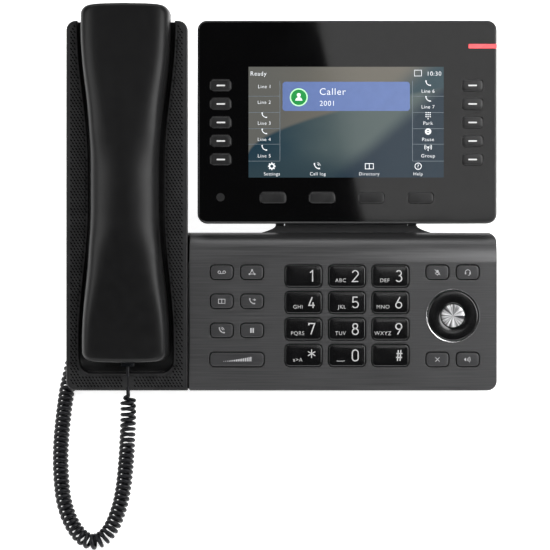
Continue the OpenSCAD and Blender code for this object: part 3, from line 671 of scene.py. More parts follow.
def handset_section(v, upper):
    """Half of one section as (offset from the middle, height) points, from the seam to the crown."""
    d = end_distance(v)
    half = half_width(v) - corner_loss(d, 5.5)
    seam = handset_arch(v) + 6
    flat = ease((abs(v - WAIST_V) - 12) / 70)
    steps = 12
    if upper:
        top = handset_top(v) - corner_loss(d, 1.8)
        square = 2.15 + 5.5 * flat
        chamfer = 0.6
        points = [(half - 0.25, seam + 0.12), (half, seam + 0.4), (half, seam + 1.6)]
        rise = max(0.5, top - seam - 1.6)
        for i in range(1, steps + 1):
            a = math.pi / 2 * i / steps
            u = (half - chamfer * (i / steps) ** 0.2) * math.cos(a) ** (2 / square)
            points.append((max(0.0, u), seam + 1.6 + rise * math.sin(a) ** (2 / square)))
        return points
    low = handset_arch(v) + max(0.0, 3 - d) + 0.05
    edge = 2.4
    points = [(half - 0.25, seam - 0.12), (half - 0.05, seam - 0.4), (half - 0.2, low + edge)]
    for i in range(1, 5):
        a = math.pi / 2 * i / 4
        points.append((half - 0.2 - edge * (1 - math.cos(a)), low + edge * (1 - math.sin(a))))
    points += [((half - 0.2 - edge) * k / 3, low) for k in (2, 1, 0)]
    return points


def handset_half(upper):
    rings = []
    for v in handset_stations():
        half = handset_section(v, upper)
        ring = []
        for u, w in half:
            ring.append((HANDSET_U + u, v, w))
        for u, w in reversed(half[:-1]):
            ring.append((HANDSET_U - u, v, w))
        rings.append([(p[0], bowed_end(p[0], p[1]), p[2]) for p in ring])
    return loft(rings)


def bowed_end(u, v):
    """The handset's two ends bow out a little in the middle."""
    middle = (HANDSET_V0 + HANDSET_V1) / 2
    reach = (v - middle) / ((HANDSET_V1 - HANDSET_V0) / 2)
    across = (u - HANDSET_U) / (EAR_END / 2)
    return v - math.copysign(1.1 * abs(reach) ** 14 * across * across, reach)


def make_handset():
    place("handset_back_shell", build_mesh("handset_back_shell", handset_half(True), 60), "handset",
          "handset", ("handset_back",))
    place("handset_front_shell", build_mesh("handset_front_shell", handset_half(False), 60), "handset",
          "handset", ("handset_front", "handset_capsules"))
    # The dark groove between the halves
    rings = []
    for v in handset_stations()[2:-2]:
        half = half_width(v) - corner_loss(end_distance(v), 5.5) - 0.5
        seam = handset_arch(v) + 6
        corners = ((half, seam - 0.5), (half, seam + 0.5), (-half, seam + 0.5), (-half, seam - 0.5))
        rings.append([(HANDSET_U + u, bowed_end(HANDSET_U + u, v), w) for u, w in corners])
    groove = build_mesh("handset_groove", loft(rings))
    place("handset_groove", groove, "handset_seam", "handset")


# ---------------------------------------------------------------- cord


def smooth_route(points, step):
    """Points every step along a Catmull-Rom curve through the given ones, in mm."""
    dense = []
    for i in range(len(points) - 1):
        p0, p1, p2, p3 = (Vector(points[min(max(i + k, 0), len(points) - 1)]) for k in (-1, 0, 1, 2))
        for j in range(12):
            t = j / 12
            dense.append(0.5 * (2 * p1 + (p2 - p0) * t + (2 * p0 - 5 * p1 + 4 * p2 - p3) * t * t
                                + (3 * p1 - p0 - 3 * p2 + p3) * t ** 3))
    dense.append(Vector(points[-1]))
    lengths = [0.0]
    for a, b in zip(dense, dense[1:]):
        lengths.append(lengths[-1] + (b - a).length)
    count = max(2, round(lengths[-1] / step))
    even, k = [], 0
    for i in range(count + 1):
        target = lengths[-1] * i / count
        while k < len(lengths) - 2 and lengths[k + 1] < target:
            k += 1
        span = lengths[k + 1] - lengths[k] or 1
        even.append(dense[k].lerp(dense[k + 1], (target - lengths[k]) / span))
    return even


def helix_route():
    """The wire's own middle: a lead, the turns of the coil, and a lead again."""
    turn_points = 14
    spine = smooth_route(COIL_ROUTE, COIL_PITCH / turn_points)
    radius = (COIL_D - WIRE_D) / 2
    wire = [Vector(LEAD_OUT[0]), Vector(LEAD_OUT[0]).lerp(Vector(LEAD_OUT[1]), 0.5), Vector(LEAD_OUT[1])]
    side = Vector((1, 0, 0))
    for i, p in enumerate(spine):
        along = (spine[min(i + 1, len(spine) - 1)] - spine[max(i - 1, 0)]).normalized()
        side = (side - along * side.dot(along)).normalized()
        up = along.cross(side)
        turn = 2 * math.pi * i / turn_points
        # The first and last turns spiral in to meet the leads
        reach = min(1.0, i / turn_points, (len(spine) - 1 - i) / turn_points)
        r = radius * ease(reach)
        wire.append(p + side * (r * math.cos(turn)) + up * (r * math.sin(turn)))
    last = [Vector(p) for p in LEAD_IN]
    return wire + [last[0].lerp(last[1], 0.5), last[1]]


def tube(route, radius, sides=8):
    """A round tube along a route, its rings carried along without twist."""
    rings = []
    side = Vector((0, 0, 1))
    for i, p in enumerate(route):
        along = (route[min(i + 1, len(route) - 1)] - route[max(i - 1, 0)]).normalized()
        side = side - along * side.dot(along)
        side = side.normalized() if side.length > 1e-6 else along.orthogonal().normalized()
        up = along.cross(side)
        turns = [2 * math.pi * k / sides for k in range(sides)]
        rings.append([p + side * (radius * math.cos(a)) + up * (radius * math.sin(a)) for a in turns])
    return loft(rings)


def make_plug(name, low, node, body):
    """A modular plug: a smoked shell with a latch."""
    u, v, w = low
    rings = []
    for inset, depth in ((0.4, 0), (0, 0.4), (0, 12.6), (0.3, 13)):
        outline = round_rect((u + 3.85, w + 3.25), (7.7 - 2 * inset, 6.5 - 2 * inset), 0.6, 2)
        rings.append([(p[0], v + depth, p[1]) for p in outline])
    latch_left, latch_right = u + 2.7, u + 5.0
    latch = loft([
        [(latch_left, v + along, w + low_side), (latch_right, v + along, w + low_side),
         (latch_right, v + along, w + high_side), (latch_left, v + along, w + high_side)]
        for along, low_side, high_side in ((0.2, 6.3, 6.9), (4, 6.3, 6.8), (7.6, 6.3, 6.55))
    ])
    place(name, build_mesh(name, join(loft(rings), latch)), "plug", body, (node,))


def make_cord():
    wire = helix_route()
    mesh = build_mesh("curly_cord", tube(wire, WIRE_D / 2), 80)
    cord = bpy.data.objects.new("curly_cord", mesh)
    scene.collection.objects.link(cord)
    mesh.materials.append(MATERIALS["cord"])
    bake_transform(cord)
    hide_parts("handset_cord")
    low = (CORD_U - 3.85, HANDSET_V0 - 2.8, CORD_W - 3.35)
    make_plug("handset_plug_shell", low, "handset_plug", "handset")
    make_plug("base_plug_shell", (-115.5 - 3.85, 47.4, -18.6 - 3.35), "base_plug", "root")


# ---------------------------------------------------------------- cradle column


def recess_outline(grow=0.0, v1=COLUMN_LENGTH + 2.0):
    """The handset's outline with a gap round it, open past the column's far end."""
    gap = RECESS_GAP + grow
    v0 = RECESS_V0 - grow
    r = 7.4
    steps = 40
    right = arc(half_width(v0) + gap - r, v0 + r, r, -90, 0, 8)
    heights = [v0 + r + (v1 - v0 - r) * i / steps for i in range(1, steps + 1)]
    right += [(half_width(v) + gap, v) for v in heights]
    left = [(-u, v) for u, v in reversed(right)]
    return [(HANDSET_U + u, v) for u, v in right + left]


def recess_floor(v):
    """Depth of the recess: deeper wells at the mouthpiece and the earpiece."""
    middle = ease((v - MOUTH_WELL_END + 3) / 4) * ease((EAR_WELL_START + 3 - v) / 4)
    return -WELL_DEPTH + (WELL_DEPTH - RECESS_DEPTH) * middle


def column_outline(inset):
    """The column's outline with the recess cut in from its far end, as one line of points."""
    r = CORNER_R - min(inset, 4)
    u0, u1 = LEFT + inset, COLUMN_RIGHT - inset
    v0, v1 = inset, COLUMN_LENGTH - inset
    outer = arc(u0 + r, v0 + r, r, 180, 270, 6) + [(u1, v0), (u1, v1 - r)] + arc(u1 - r, v1 - r, r, 0, 90, 6)
    # From the far end's right part, down the recess's right wall, and up its left one
    walls = recess_outline(inset, v1)
    half = len(walls) // 2
    down_right = list(reversed(walls[:half]))
    up_left = list(reversed(walls[half:]))
    return outer + down_right + up_left + arc(u0 + r, v1 - r, r, 90, 180, 6)


TEXTURE_PITCH_U, TEXTURE_PITCH_V = 1.9, 1.62
TEXTURE_MARGIN = 1.15
RECESS_DOT_V, RECESS_DOT_SPREAD = 14.0, 20.4


def texture_cells(inset):
    """Middles of the small slanted pits, in staggered rows between the rim line and the recess."""
    cells = []
    for row in range(int(COLUMN_LENGTH / TEXTURE_PITCH_V)):
        v = 2.6 + row * TEXTURE_PITCH_V
        if v > COLUMN_LENGTH - inset:
            continue
        stagger = TEXTURE_PITCH_U * (0.5 if row % 2 else 0.0)
        for column in range(int((COLUMN_RIGHT - LEFT) / TEXTURE_PITCH_U)):
            u = LEFT + inset + stagger + column * TEXTURE_PITCH_U
            if u > COLUMN_RIGHT - inset or in_recess(u, v, TEXTURE_MARGIN) or in_corner(u, v, inset):
                continue
            cells.append((u, v))
    return cells


def in_recess(u, v, margin):
    if v < RECESS_V0 - margin:
        return abs(u - CORD_U) < 2 + margin
    if v < RECESS_V0 + 7.4 - 2:
        return abs(u - HANDSET_U) < half_width(v) + RECESS_GAP + margin - 1.5
    return abs(u - HANDSET_U) < half_width(v) + RECESS_GAP + margin


def in_corner(u, v, inset):
    """Whether a point lies past the rim line's rounded corners."""
    r = CORNER_R
    for cu, cv in ((LEFT + r, r), (LEFT + r, COLUMN_LENGTH - r), (COLUMN_RIGHT - r, COLUMN_LENGTH - r)):
        outside_u = u < cu if cu < HANDSET_U else u > cu
        outside_v = v < cv if cv < WAIST_V else v > cv
        if outside_u and outside_v and math.hypot(u - cu, v - cv) > r - inset:
            return True
    return False


def painted_shade(centre):
    """A small slanted lozenge: the outline of one pit's painted shade."""
    long, short = 0.84, 0.42
    points = []
    for a in (0, 60, 120, 180, 240, 300):
        x, y = long * math.cos(math.radians(a)), short * math.sin(math.radians(a))
        points.append((centre[0] + (x + y) * 0.7071, centre[1] + (y - x) * 0.7071))
    return points


def make_cradle():
    # The body, sunk a little, with the textured skin and the rim line on it
    plate("cradle_body", column_outline(0), [], -0.45, RIM - 0.45, 0.7, "cradle", "root", "cradle_black",
          ("cradle_shell",))
    rim_in = 1.9
    plate("cradle_skin", column_outline(rim_in), [], 0.0, 0.44, 0.1, "cradle", "root", "cradle_black",
          resolution=1)
    # Each pit is a flat near-black patch a hair above the skin: painted shade in place of a hollow
    pits = print_mesh("cradle_pits_painted_shade", [painted_shade(cell) for cell in texture_cells(rim_in + 1.0)], -0.1, 0.012)
    place("cradle_pits_painted_shade", pits, "painted_shade", "root")
    make_recess()


def make_recess():
    """The floor and walls of the hollow that the handset lies in."""
    outline = recess_outline(-0.05, COLUMN_LENGTH - 0.4)
    half = len(outline) // 2
    rings = []
    for (u_right, v), (u_left, _) in zip(outline[:half], reversed(outline[half:])):
        floor = recess_floor(v)
        rings.append([(u_right, v, -0.5), (u_right, v, floor + 0.8), (u_right - 0.8, v, floor),
                      (u_left + 0.8, v, floor), (u_left, v, floor + 0.8), (u_left, v, -0.5)])
    place("cradle_recess", build_mesh("cradle_recess", loft(rings, False, False, closed=False), 60), "cradle",
          "root")
    floor = recess_floor(RECESS_DOT_V)
    dots = disc((HANDSET_U - RECESS_DOT_SPREAD / 2, RECESS_DOT_V), 0.6, 14)
    dots += disc((HANDSET_U + RECESS_DOT_SPREAD / 2, RECESS_DOT_V), 0.6, 14)
    mesh = print_mesh("recess_dots", dots, floor - 0.1, floor + 0.08)
    place("recess_dots", mesh, "line_key", "root")


# ---------------------------------------------------------------- keypad panel


def pad_holes():
    holes = []
    for row in range(4):
        for column in range(3):
            holes.append(grown(dial_at(row, column), DIAL_KEY, DIAL_R))
    for row in range(3):
        for side in range(2):
            holes.append(grown(function_at(LEFT_KEYS_U, row, side), FUNCTION_KEY, FUNCTION_R))
    for row in (0, 3):
        for side in range(2):
            holes.append(grown(function_at(RIGHT_KEYS_U, row, side), FUNCTION_KEY, FUNCTION_R))
    holes.append(grown(rocker_at(), ROCKER, FUNCTION_R))
    holes.append(circle(RING_CENTRE, RING_R + 0.8, 64))
    return holes


def grown(centre, size, r):
    return round_rect(centre, (size[0] + 2 * KEY_GAP, size[1] + 2 * KEY_GAP), r + KEY_GAP)


def dial_at(row, column):
    return PAD_U + (column - 1) * DIAL_PITCH[0], DIAL_TOP_V - row * DIAL_PITCH[1]


def function_at(bank_u, row, side):
    return bank_u + (side - 0.5) * FUNCTION_PITCH[0], FUNCTION_TOP_V - row * FUNCTION_PITCH[1]


def rocker_at():
    return LEFT_KEYS_U, FUNCTION_TOP_V - 3 * FUNCTION_PITCH[1]


def line_at(side, row):
    return PAD_U - 0.1 + (side - 0.5) * LINE_SPAN_U, LINE_MID_V + (2 - row) * LINE_PITCH_V


def soft_at(i):
    return PAD_U + (i - 1.5) * SOFT_PITCH_U, SOFT_V


def make_pad():
    flat_end = PAD_LENGTH - ROLL_LENGTH
    bevel = 0.6
    outer = rounded((PAD_LEFT, 0), (RIGHT, flat_end + bevel), (0.6, CORNER_R, 0.01, 0.01))
    plate("keypad_plate", outer, pad_holes(), 0, RIM, bevel, "panel", "root", "panel_anthracite",
          ("keypad_panel",))
    # The rolled far edge: rings across the panel, following the quarter round
    rings = []
    steps = 32
    fall = math.acos((ROLL_DEPTH - RIM) / ROLL_DEPTH)
    for i in range(steps + 1):
        a = fall * i / steps
        v = flat_end + ROLL_LENGTH * math.sin(a)
        w = ROLL_DEPTH * (math.cos(a) - 1)
        right = RIGHT - corner_loss(PAD_LENGTH - v, CORNER_R)
        edge = min(bevel, (w + RIM) / 2)
        ring = [(PAD_LEFT, v, -RIM), (PAD_LEFT, v, w - edge)]
        turns = (0.5, 1.0, math.pi / 2)
        bends = [(edge * (1 - math.cos(b)), w - edge * (1 - math.sin(b))) for b in turns]
        ring += [(PAD_LEFT + pull, v, height) for pull, height in bends]
        ring += [(right - pull, v, height) for pull, height in reversed(bends)]
        ring += [(right, v, w - edge), (right, v, -RIM)]
        rings.append(ring)
    place("keypad_roll", build_mesh("keypad_roll", loft(rings), 50), "panel", "root")


# ---------------------------------------------------------------- keys


def keycap(size, r, rise, depth=3.5, edge=0.5, crown=0.1):
    """A key with a rounded top edge, its middle at the origin."""
    rings = []
    for w, inset in ((-depth, 0), (rise - edge, 0)):
        rings.append([(*p, w) for p in round_rect((0, 0), (size[0] - 2 * inset, size[1] - 2 * inset), r)])
    for i in range(1, 5):
        a = math.pi / 2 * i / 4
        inset = edge * (1 - math.cos(a))
        outline = round_rect((0, 0), (size[0] - 2 * inset, size[1] - 2 * inset), r - inset)
        rings.append([(*p, rise - crown - edge * (1 - math.sin(a))) for p in outline])
    for part in (0.3, 0.6, 0.9):
        inset = edge + (min(size) / 2 - edge) * part
        corner = max(0.05, (r - edge) * (1 - part))
        outline = round_rect((0, 0), (size[0] - 2 * inset, size[1] - 2 * inset), corner)
        rings.append([(*p, rise - crown * (1 - part) ** 2) for p in outline])
    return loft(rings)


def make_key(node, centre, size, r, rise, material, slot="key_black", **shape):
    at = FACE @ Matrix.Translation((centre[0] * MM, centre[1] * MM, 0))
    mesh = build_mesh(node + "_cap", keycap(size, r, rise, **shape), 60)
    return place(node + "_cap", mesh, material, node, (node,), at=at)


def make_legend(node, centre, faces, rise, material="legend"):
    at = FACE @ Matrix.Translation((centre[0] * MM, centre[1] * MM, 0))
    mesh = print_mesh(node + "_legend", faces, rise - 0.12, rise + 0.02)
    place(node + "_legend", mesh, material, node, at=at)


DIAL_LEGENDS = [
    ("1", "", "1"), ("2", "ABC", "2"), ("3", "DEF", "3"),
    ("4", "GHI", "4"), ("5", "JKL", "5"), ("6", "MNO", "6"),
    ("7", "PQRS", "7"), ("8", "TUV", "8"), ("9", "WXYZ", "9"),
    ("star", "a>A", "*"), ("0", "", "0"), ("hash", "", "#"),
]
DIGIT_W, DIGIT_H, DIGIT_PEN = 3.3, 6.2, 0.62
LETTER_HEIGHT = 2.2


def digit_faces(digit):
    """A plain narrow digit drawn with one pen, its lower left corner at the origin."""
    w, h, r = DIGIT_W, DIGIT_H, DIGIT_W / 2
    low, high = 1.65, 1.45
    lines = {
        "0": [arc(r, h - r, r, 0, 180, 14) + arc(r, r, r, 180, 360, 14) + [(w, h - r)]],
        "1": [[(0.7, h - 1.2), (2.1, h), (2.1, 0)]],
        "2": [arc(r, h - r, r, 165, -42, 14) + [(0, 0), (w, 0)]],
        "3": [arc(r, h - high, high, 150, -90, 14), arc(r, 1.72, 1.72, 90, -150, 16)],
        "4": [[(1.9, h), (0, 1.5), (w, 1.5)], [(2.35, 0), (2.35, 3.2)]],
        "5": [[(w - 0.3, h), (0.45, h), (0.25, 3.3)] + arc(r, 1.95, 1.75, 130, -150, 16)],
        "6": [[(2.35, h), (0.28, 2.55)], circle((r, low), low, 26) + [(w, low)]],
        "7": [[(0, h - 1), (0, h), (w, h), (1.1, 0)]],
        "8": [circle((r, h - high), high - 0.1, 24) + [(r + high - 0.1, h - high)],
              circle((r, low), low, 26) + [(w, low)]],
        "9": [circle((r, h - low), low, 26) + [(w, h - low)], [(w - 0.28, h - 2.55), (w - 2.35, 0)]],
        "#": [[(0.9, 0), (1.45, h)], [(2.35, 0), (2.9, h)],
              [(0.1, 2.0), (3.6, 2.0)], [(0.3, 4.2), (3.8, 4.2)]],
    }
    return [face for line in lines[digit] for face in stroke(line, DIGIT_PEN)]


def star(centre, r, width):
    faces = []
    for a in (90, 30, 150):
        du, dv = r * math.cos(math.radians(a)), r * math.sin(math.radians(a))
        faces += stroke([(centre[0] - du, centre[1] - dv), (centre[0] + du, centre[1] + dv)], width)
    return faces


def make_dial_keys():
    for i, (name, letters, digit) in enumerate(DIAL_LEGENDS):
        node = "dial_key_" + name
        centre = dial_at(i // 3, i % 3)
        make_key(node, centre, DIAL_KEY, DIAL_R, KEY_RISE, "dial_key")
        baseline = -DIGIT_H / 2
        if digit == "*":
            faces = star((4.6, 1.0), 2.4, 0.5)
        else:
            faces = shift(digit_faces(digit), 4.7 - DIGIT_W / 2, baseline)
        if letters:
            right = 0.4 if len(letters) > 3 else -0.6
            faces += text(letters, LETTER_HEIGHT, (right, baseline - 0.35), "RIGHT")
        if name == "0":
            faces += stroke([(-5.6, -2.7), (-5.6, -3.2), (-1.6, -3.2), (-1.6, -2.7)], 0.26)
        make_legend(node, centre, faces, KEY_RISE)


def make_function_keys():
    banks = {
        LEFT_KEYS_U: [
            ("voicemail_key", 0, 0), ("conference_key", 0, 1),
            ("contacts_key", 1, 0), ("transfer_key", 1, 1),
            ("call_log_key", 2, 0), ("hold_key", 2, 1),
        ],
        RIGHT_KEYS_U: [
            ("mute_key", 0, 0), ("headset_key", 0, 1),
            ("end_call_key", 3, 0), ("loudspeaker_key", 3, 1),
        ],
    }
    for bank_u, keys in banks.items():
        for node, row, side in keys:
            centre = function_at(bank_u, row, side)
            make_key(node, centre, FUNCTION_KEY, FUNCTION_R, KEY_RISE, "function_key", "key_anthracite")
            icon = shift(ICONS[node](), 0, 0, 0.92)
            make_legend(node, centre, icon, KEY_RISE, "legend_dim")
    make_key("volume_rocker", rocker_at(), ROCKER, FUNCTION_R, KEY_RISE, "function_key", "key_anthracite")
    ramp = []
    for i in range(16):
        u = -7.4 + i * 1.02
        ramp += bar((u - 0.3, -1.1), (u + 0.3, -1.0 + 2.3 * (i / 15) ** 1.3 + 0.12))
    make_legend("volume_rocker", rocker_at(), ramp, KEY_RISE, "legend_dim")


def turned(profile, steps=64):
    """A closed shape turned about w from a profile of (radius, height) points; a radius of 0 closes it."""
    rings = []
    for r, w in profile:
        rings.append([(*p, w) for p in circle((0, 0), max(r, 0.001), steps)])
    return loft(rings, cap_first=profile[0][0] < 0.01, cap_last=profile[-1][0] < 0.01)


def make_navigator():
    at = FACE @ Matrix.Translation((RING_CENTRE[0] * MM, RING_CENTRE[1] * MM, 0))
    ring = [(RING_HOLE_R + 0.05, -3.5), (RING_R - 0.05, -3.5), (RING_R, 0.5), (RING_R - 0.25, 0.8),
            (RING_R - 0.7, 0.86), (RING_R - 4, 0.75), (RING_HOLE_R + 0.6, 0.68),
            (RING_HOLE_R + 0.12, 0.5), (RING_HOLE_R + 0.05, 0.1),
            (RING_HOLE_R + 0.05, -3.5)]
    mesh = build_mesh("navigation_ring_cap", turned(ring), 50)
    place("navigation_ring_cap", mesh, "dial_key", "navigation_ring",
          ("navigation_ring",), at=at)
    # Set back from the ring by more than the ring leans when it rocks
    trim_r = RING_R + 0.35
    trim = [(trim_r, -2), (RING_R + 0.7, -2), (RING_R + 0.7, 0.01), (RING_R + 1.2, 0.02), (RING_R + 1.1, 0.5),
            (RING_R + 0.8, 0.85), (RING_R + 0.5, 0.8), (trim_r, 0.3), (trim_r, -2)]
    mesh = build_mesh("navigation_trim", turned(trim, 96), 50)
    place("navigation_trim", mesh, "chrome", "root", at=at)
    button = [(0, -3.5), (OK_R - 0.3, -3.5), (OK_R - 0.1, -3), (OK_R - 0.1, 0.8),
              (OK_R - 0.35, 1.15), (OK_R - 0.8, 1.25), (OK_R * 0.6, 1.12), (OK_R * 0.3, 1.02),
              (0.4, 1.0), (0, 1.0)]
    mesh = build_mesh("ok_button_cap", turned(button, 96), 40)
    # The button's bright fans are painted highlights in its base colour
    place("ok_button_cap", mesh, "spun", "ok_button", ("ok_button",), at=at)


def make_line_keys():
    for side in range(2):
        for row in range(5):
            node = f"line_key_{side * 5 + row + 1}"
            centre = line_at(side, row)
            make_key(node, centre, LINE_KEY, LINE_R, LINE_RISE, "line_key", edge=0.4, crown=0.05)
            dash = [[Vector(p) for p in round_rect((0, 0), (4.9, 0.85), 0.35, 3)]]
            make_legend(node, centre, dash, LINE_RISE, "dash")
    for i in range(4):
        node = f"soft_key_{i + 1}"
        make_key(node, soft_at(i), SOFT_KEY, LINE_R, LINE_RISE, "line_key", edge=0.4, crown=0.05)


# ---------------------------------------------------------------- display head


def head_holes():
    holes = [grown(line_at(side, row), LINE_KEY, LINE_R) for side in range(2) for row in range(5)]
    return holes + [grown(soft_at(i), SOFT_KEY, LINE_R) for i in range(4)]


HINGE = (100.1, -18.0)
KNUCKLE_R = 5.5
LUG_WIDTH = 5.0
NECK_WIDTH = 81.0
LIP_V, LIP_TOP = 94.0, -23.9


def lug_shape(u0, u1):
    """A hinge lug: a round knuckle that runs up into the head's back."""
    outline = arc(HINGE[0], HINGE[1], KNUCKLE_R, 180, 360, 20)
    outline += [(HINGE[0] + KNUCKLE_R, -HEAD_THICK + 0.6), (HINGE[0] - KNUCKLE_R + 0.2, -HEAD_THICK + 0.6)]
    rings = []
    for u, inset in ((u0, 0.3), (u0 + 0.3, 0), (u1 - 0.3, 0), (u1, 0.3)):
        middle = Vector((HINGE[0], HINGE[1] + 3))
        rings.append([(u, *(Vector(p) + (middle - Vector(p)).normalized() * inset)) for p in outline])
    return loft(rings)


def slots(columns, rows, size, pitch):
    """Outlines of round-ended slots on a grid about the origin."""
    spots = [((i - (columns - 1) / 2) * pitch[0], (k - (rows - 1) / 2) * pitch[1])
             for i in range(columns) for k in range(rows)]
    return [round_rect(spot, size, min(size) / 2 - 0.01, 5) for spot in spots]


def grille(name, at, size, holes, body, slot):
    """A plate with slots in it over a near-black sheet of painted shade, seated in the face of a housing."""
    plate(name, round_rect((0, 0), size, 1.6), holes, 0.5, 0.9, 0.15, "case", body, slot, at=at, resolution=1)
    # Painted shade: a near-black sheet under the slots stands for the housing's dark inside
    painted_shade_sheet = round_rect((0, 0), (size[0] - 1, size[1] - 1), 1.2)
    plate(name + "_backing", painted_shade_sheet, [], 0.08, 0.2, 0.05, "painted_shade", body, slot, at=at, resolution=1)


def make_head_back():
    shapes = []
    for side in (-1, 1):
        middle = PAD_U + side * (NECK_WIDTH / 2 - LUG_WIDTH / 2)
        shapes.append(lug_shape(middle - LUG_WIDTH / 2, middle + LUG_WIDTH / 2))
        # A lip on the neck that closes the slit in front of the lug
        lip = round_rect((middle, LIP_V), (LUG_WIDTH, 7), 0.5)
        name = "neck_lip_left" if side < 0 else "neck_lip_right"
        plate(name, lip, [], LIP_TOP, 1.6, 0.3, "head", "root", "case_black", resolution=1)
    place("display_lugs", build_mesh("display_lugs", join(*shapes)), "head", "display_head")
    flip = Matrix.Rotation(math.pi, 4, "Y")
    for k, u in enumerate((PAD_U - 42, PAD_U + 42)):
        at = FACE @ Matrix.Translation((u * MM, 176 * MM, (-HEAD_THICK - 0.05) * MM)) @ flip
        holes = slots(9, 1, (2.2, 14), (4.6, 0))
        grille(f"head_vent_{k + 1}", at, (46, 20), holes, "display_head", "head_black")
    at = FACE @ Matrix.Translation((PAD_U * MM, 140 * MM, (-HEAD_THICK - 0.05) * MM)) @ flip
    ridge = round_rect((0, 0), (118, 34), 4)
    inside = round_rect((0, 0), (113, 29), 2.5)
    plate("head_back_panel", ridge, [inside], 0.5, 0.9, 0.2, "case", "display_head", "head_black", at=at,
          resolution=2)


LEG_U = (-110.0, -66.0)
LEG_TOP_V = 198.0
LEG_FOOT_BACK = 8.0


def make_leg_details():
    """A vent in the leg's far side, and the contacts in its two network sockets."""
    top = FACE @ Vector((0, LEG_TOP_V * MM, -24 * MM))
    foot = Vector((0, top.y - LEG_FOOT_BACK * MM, 1.5 * MM))
    up = (top - foot).normalized()
    across = Vector((-1, 0, 0))
    out = across.cross(up)
    at = Matrix.Translation(foot.lerp(top, 0.6) + Vector((sum(LEG_U) / 2 * MM, 0, 0)))
    at = at @ Matrix((across, up, out)).transposed().to_4x4()
    grille("leg_vent", at, (32, 26), slots(6, 1, (2.4, 19), (4.8, 0)), "root", "case_black")
    sockets_low, sockets_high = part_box("network_sockets")
    pins = []
    middle_y = (sockets_low.y + sockets_high.y) / 2 / MM
    x0 = sockets_high.x / MM - 11
    z0 = (sockets_low.z + sockets_high.z) / 2 / MM + 4.6
    for side in (-8, 8):
        for i in range(8):
            y = middle_y + side + (i - 3.5) * 1.02
            pins.append(loft([[(x, y - 0.2, z), (x, y + 0.2, z), (x, y + 0.2, z - 0.3), (x, y - 0.2, z - 0.3)]
                              for x, z in ((x0 + 0.5, z0 - 4.2), (x0 + 3, z0 - 3.2), (x0 + 9, z0 - 0.2))]))
    mesh = build_mesh("network_contacts", join(*pins))
    place("network_contacts", mesh, "contact", "root", at=ROW)


def make_head():
    rim = 0.9
    back = rounded((HEAD_LEFT, HEAD_V0), (RIGHT, HEAD_V1), (5.5,) * 4, 8)
    plate("display_case", back, [], -0.55, HEAD_THICK - 0.55, 1.2, "head", "display_head", "head_black",
          ("display_back",))
    make_head_back()
    front = rounded((HEAD_LEFT + rim, HEAD_V0 + rim), (RIGHT - rim, HEAD_V1 - rim), (5.5 - rim,) * 4, 8)
    plate("display_cover", front, head_holes(), 0, 0.6, 0.12, "glass", "display_head", "glass_black",
          ("display_glass", "display_module"), resolution=1, sharp=8)
    lamp = rounded((RIGHT - 16.2, 194.05), (RIGHT, 196.75), (0.3, 0.5, 0.5, 0.3), 3)
    plate("message_lamp_lens", lamp, [], 0.08, 8.8, 0.3, "lamp", "display_head", "lamp_red",
          ("message_lamp",))
    window = [(*p, 0.02) for p in circle((-34.6, 109.7), 2.4, 32)]
    rings = [[(p[0], p[1], 0.0) for p in window], window]
    mesh = build_mesh("sensor_window", loft(rings))
    place("sensor_window", mesh, "line_key", "display_head")


# ---------------------------------------------------------------- the lit screen


def blend_nodes(nodes, links, factor, a, b):
    """A colour between a and b; each may be a colour or another node's output."""
    mix = nodes.new("ShaderNodeMix")
    mix.data_type = "RGBA"
    links.new(factor, mix.inputs["Factor"])
    for name, value in (("A", a), ("B", b)):
        if isinstance(value, tuple):
            mix.inputs[name].default_value = (*value, 1)
        else:
            links.new(value, mix.inputs[name])
    return mix.outputs["Result"]


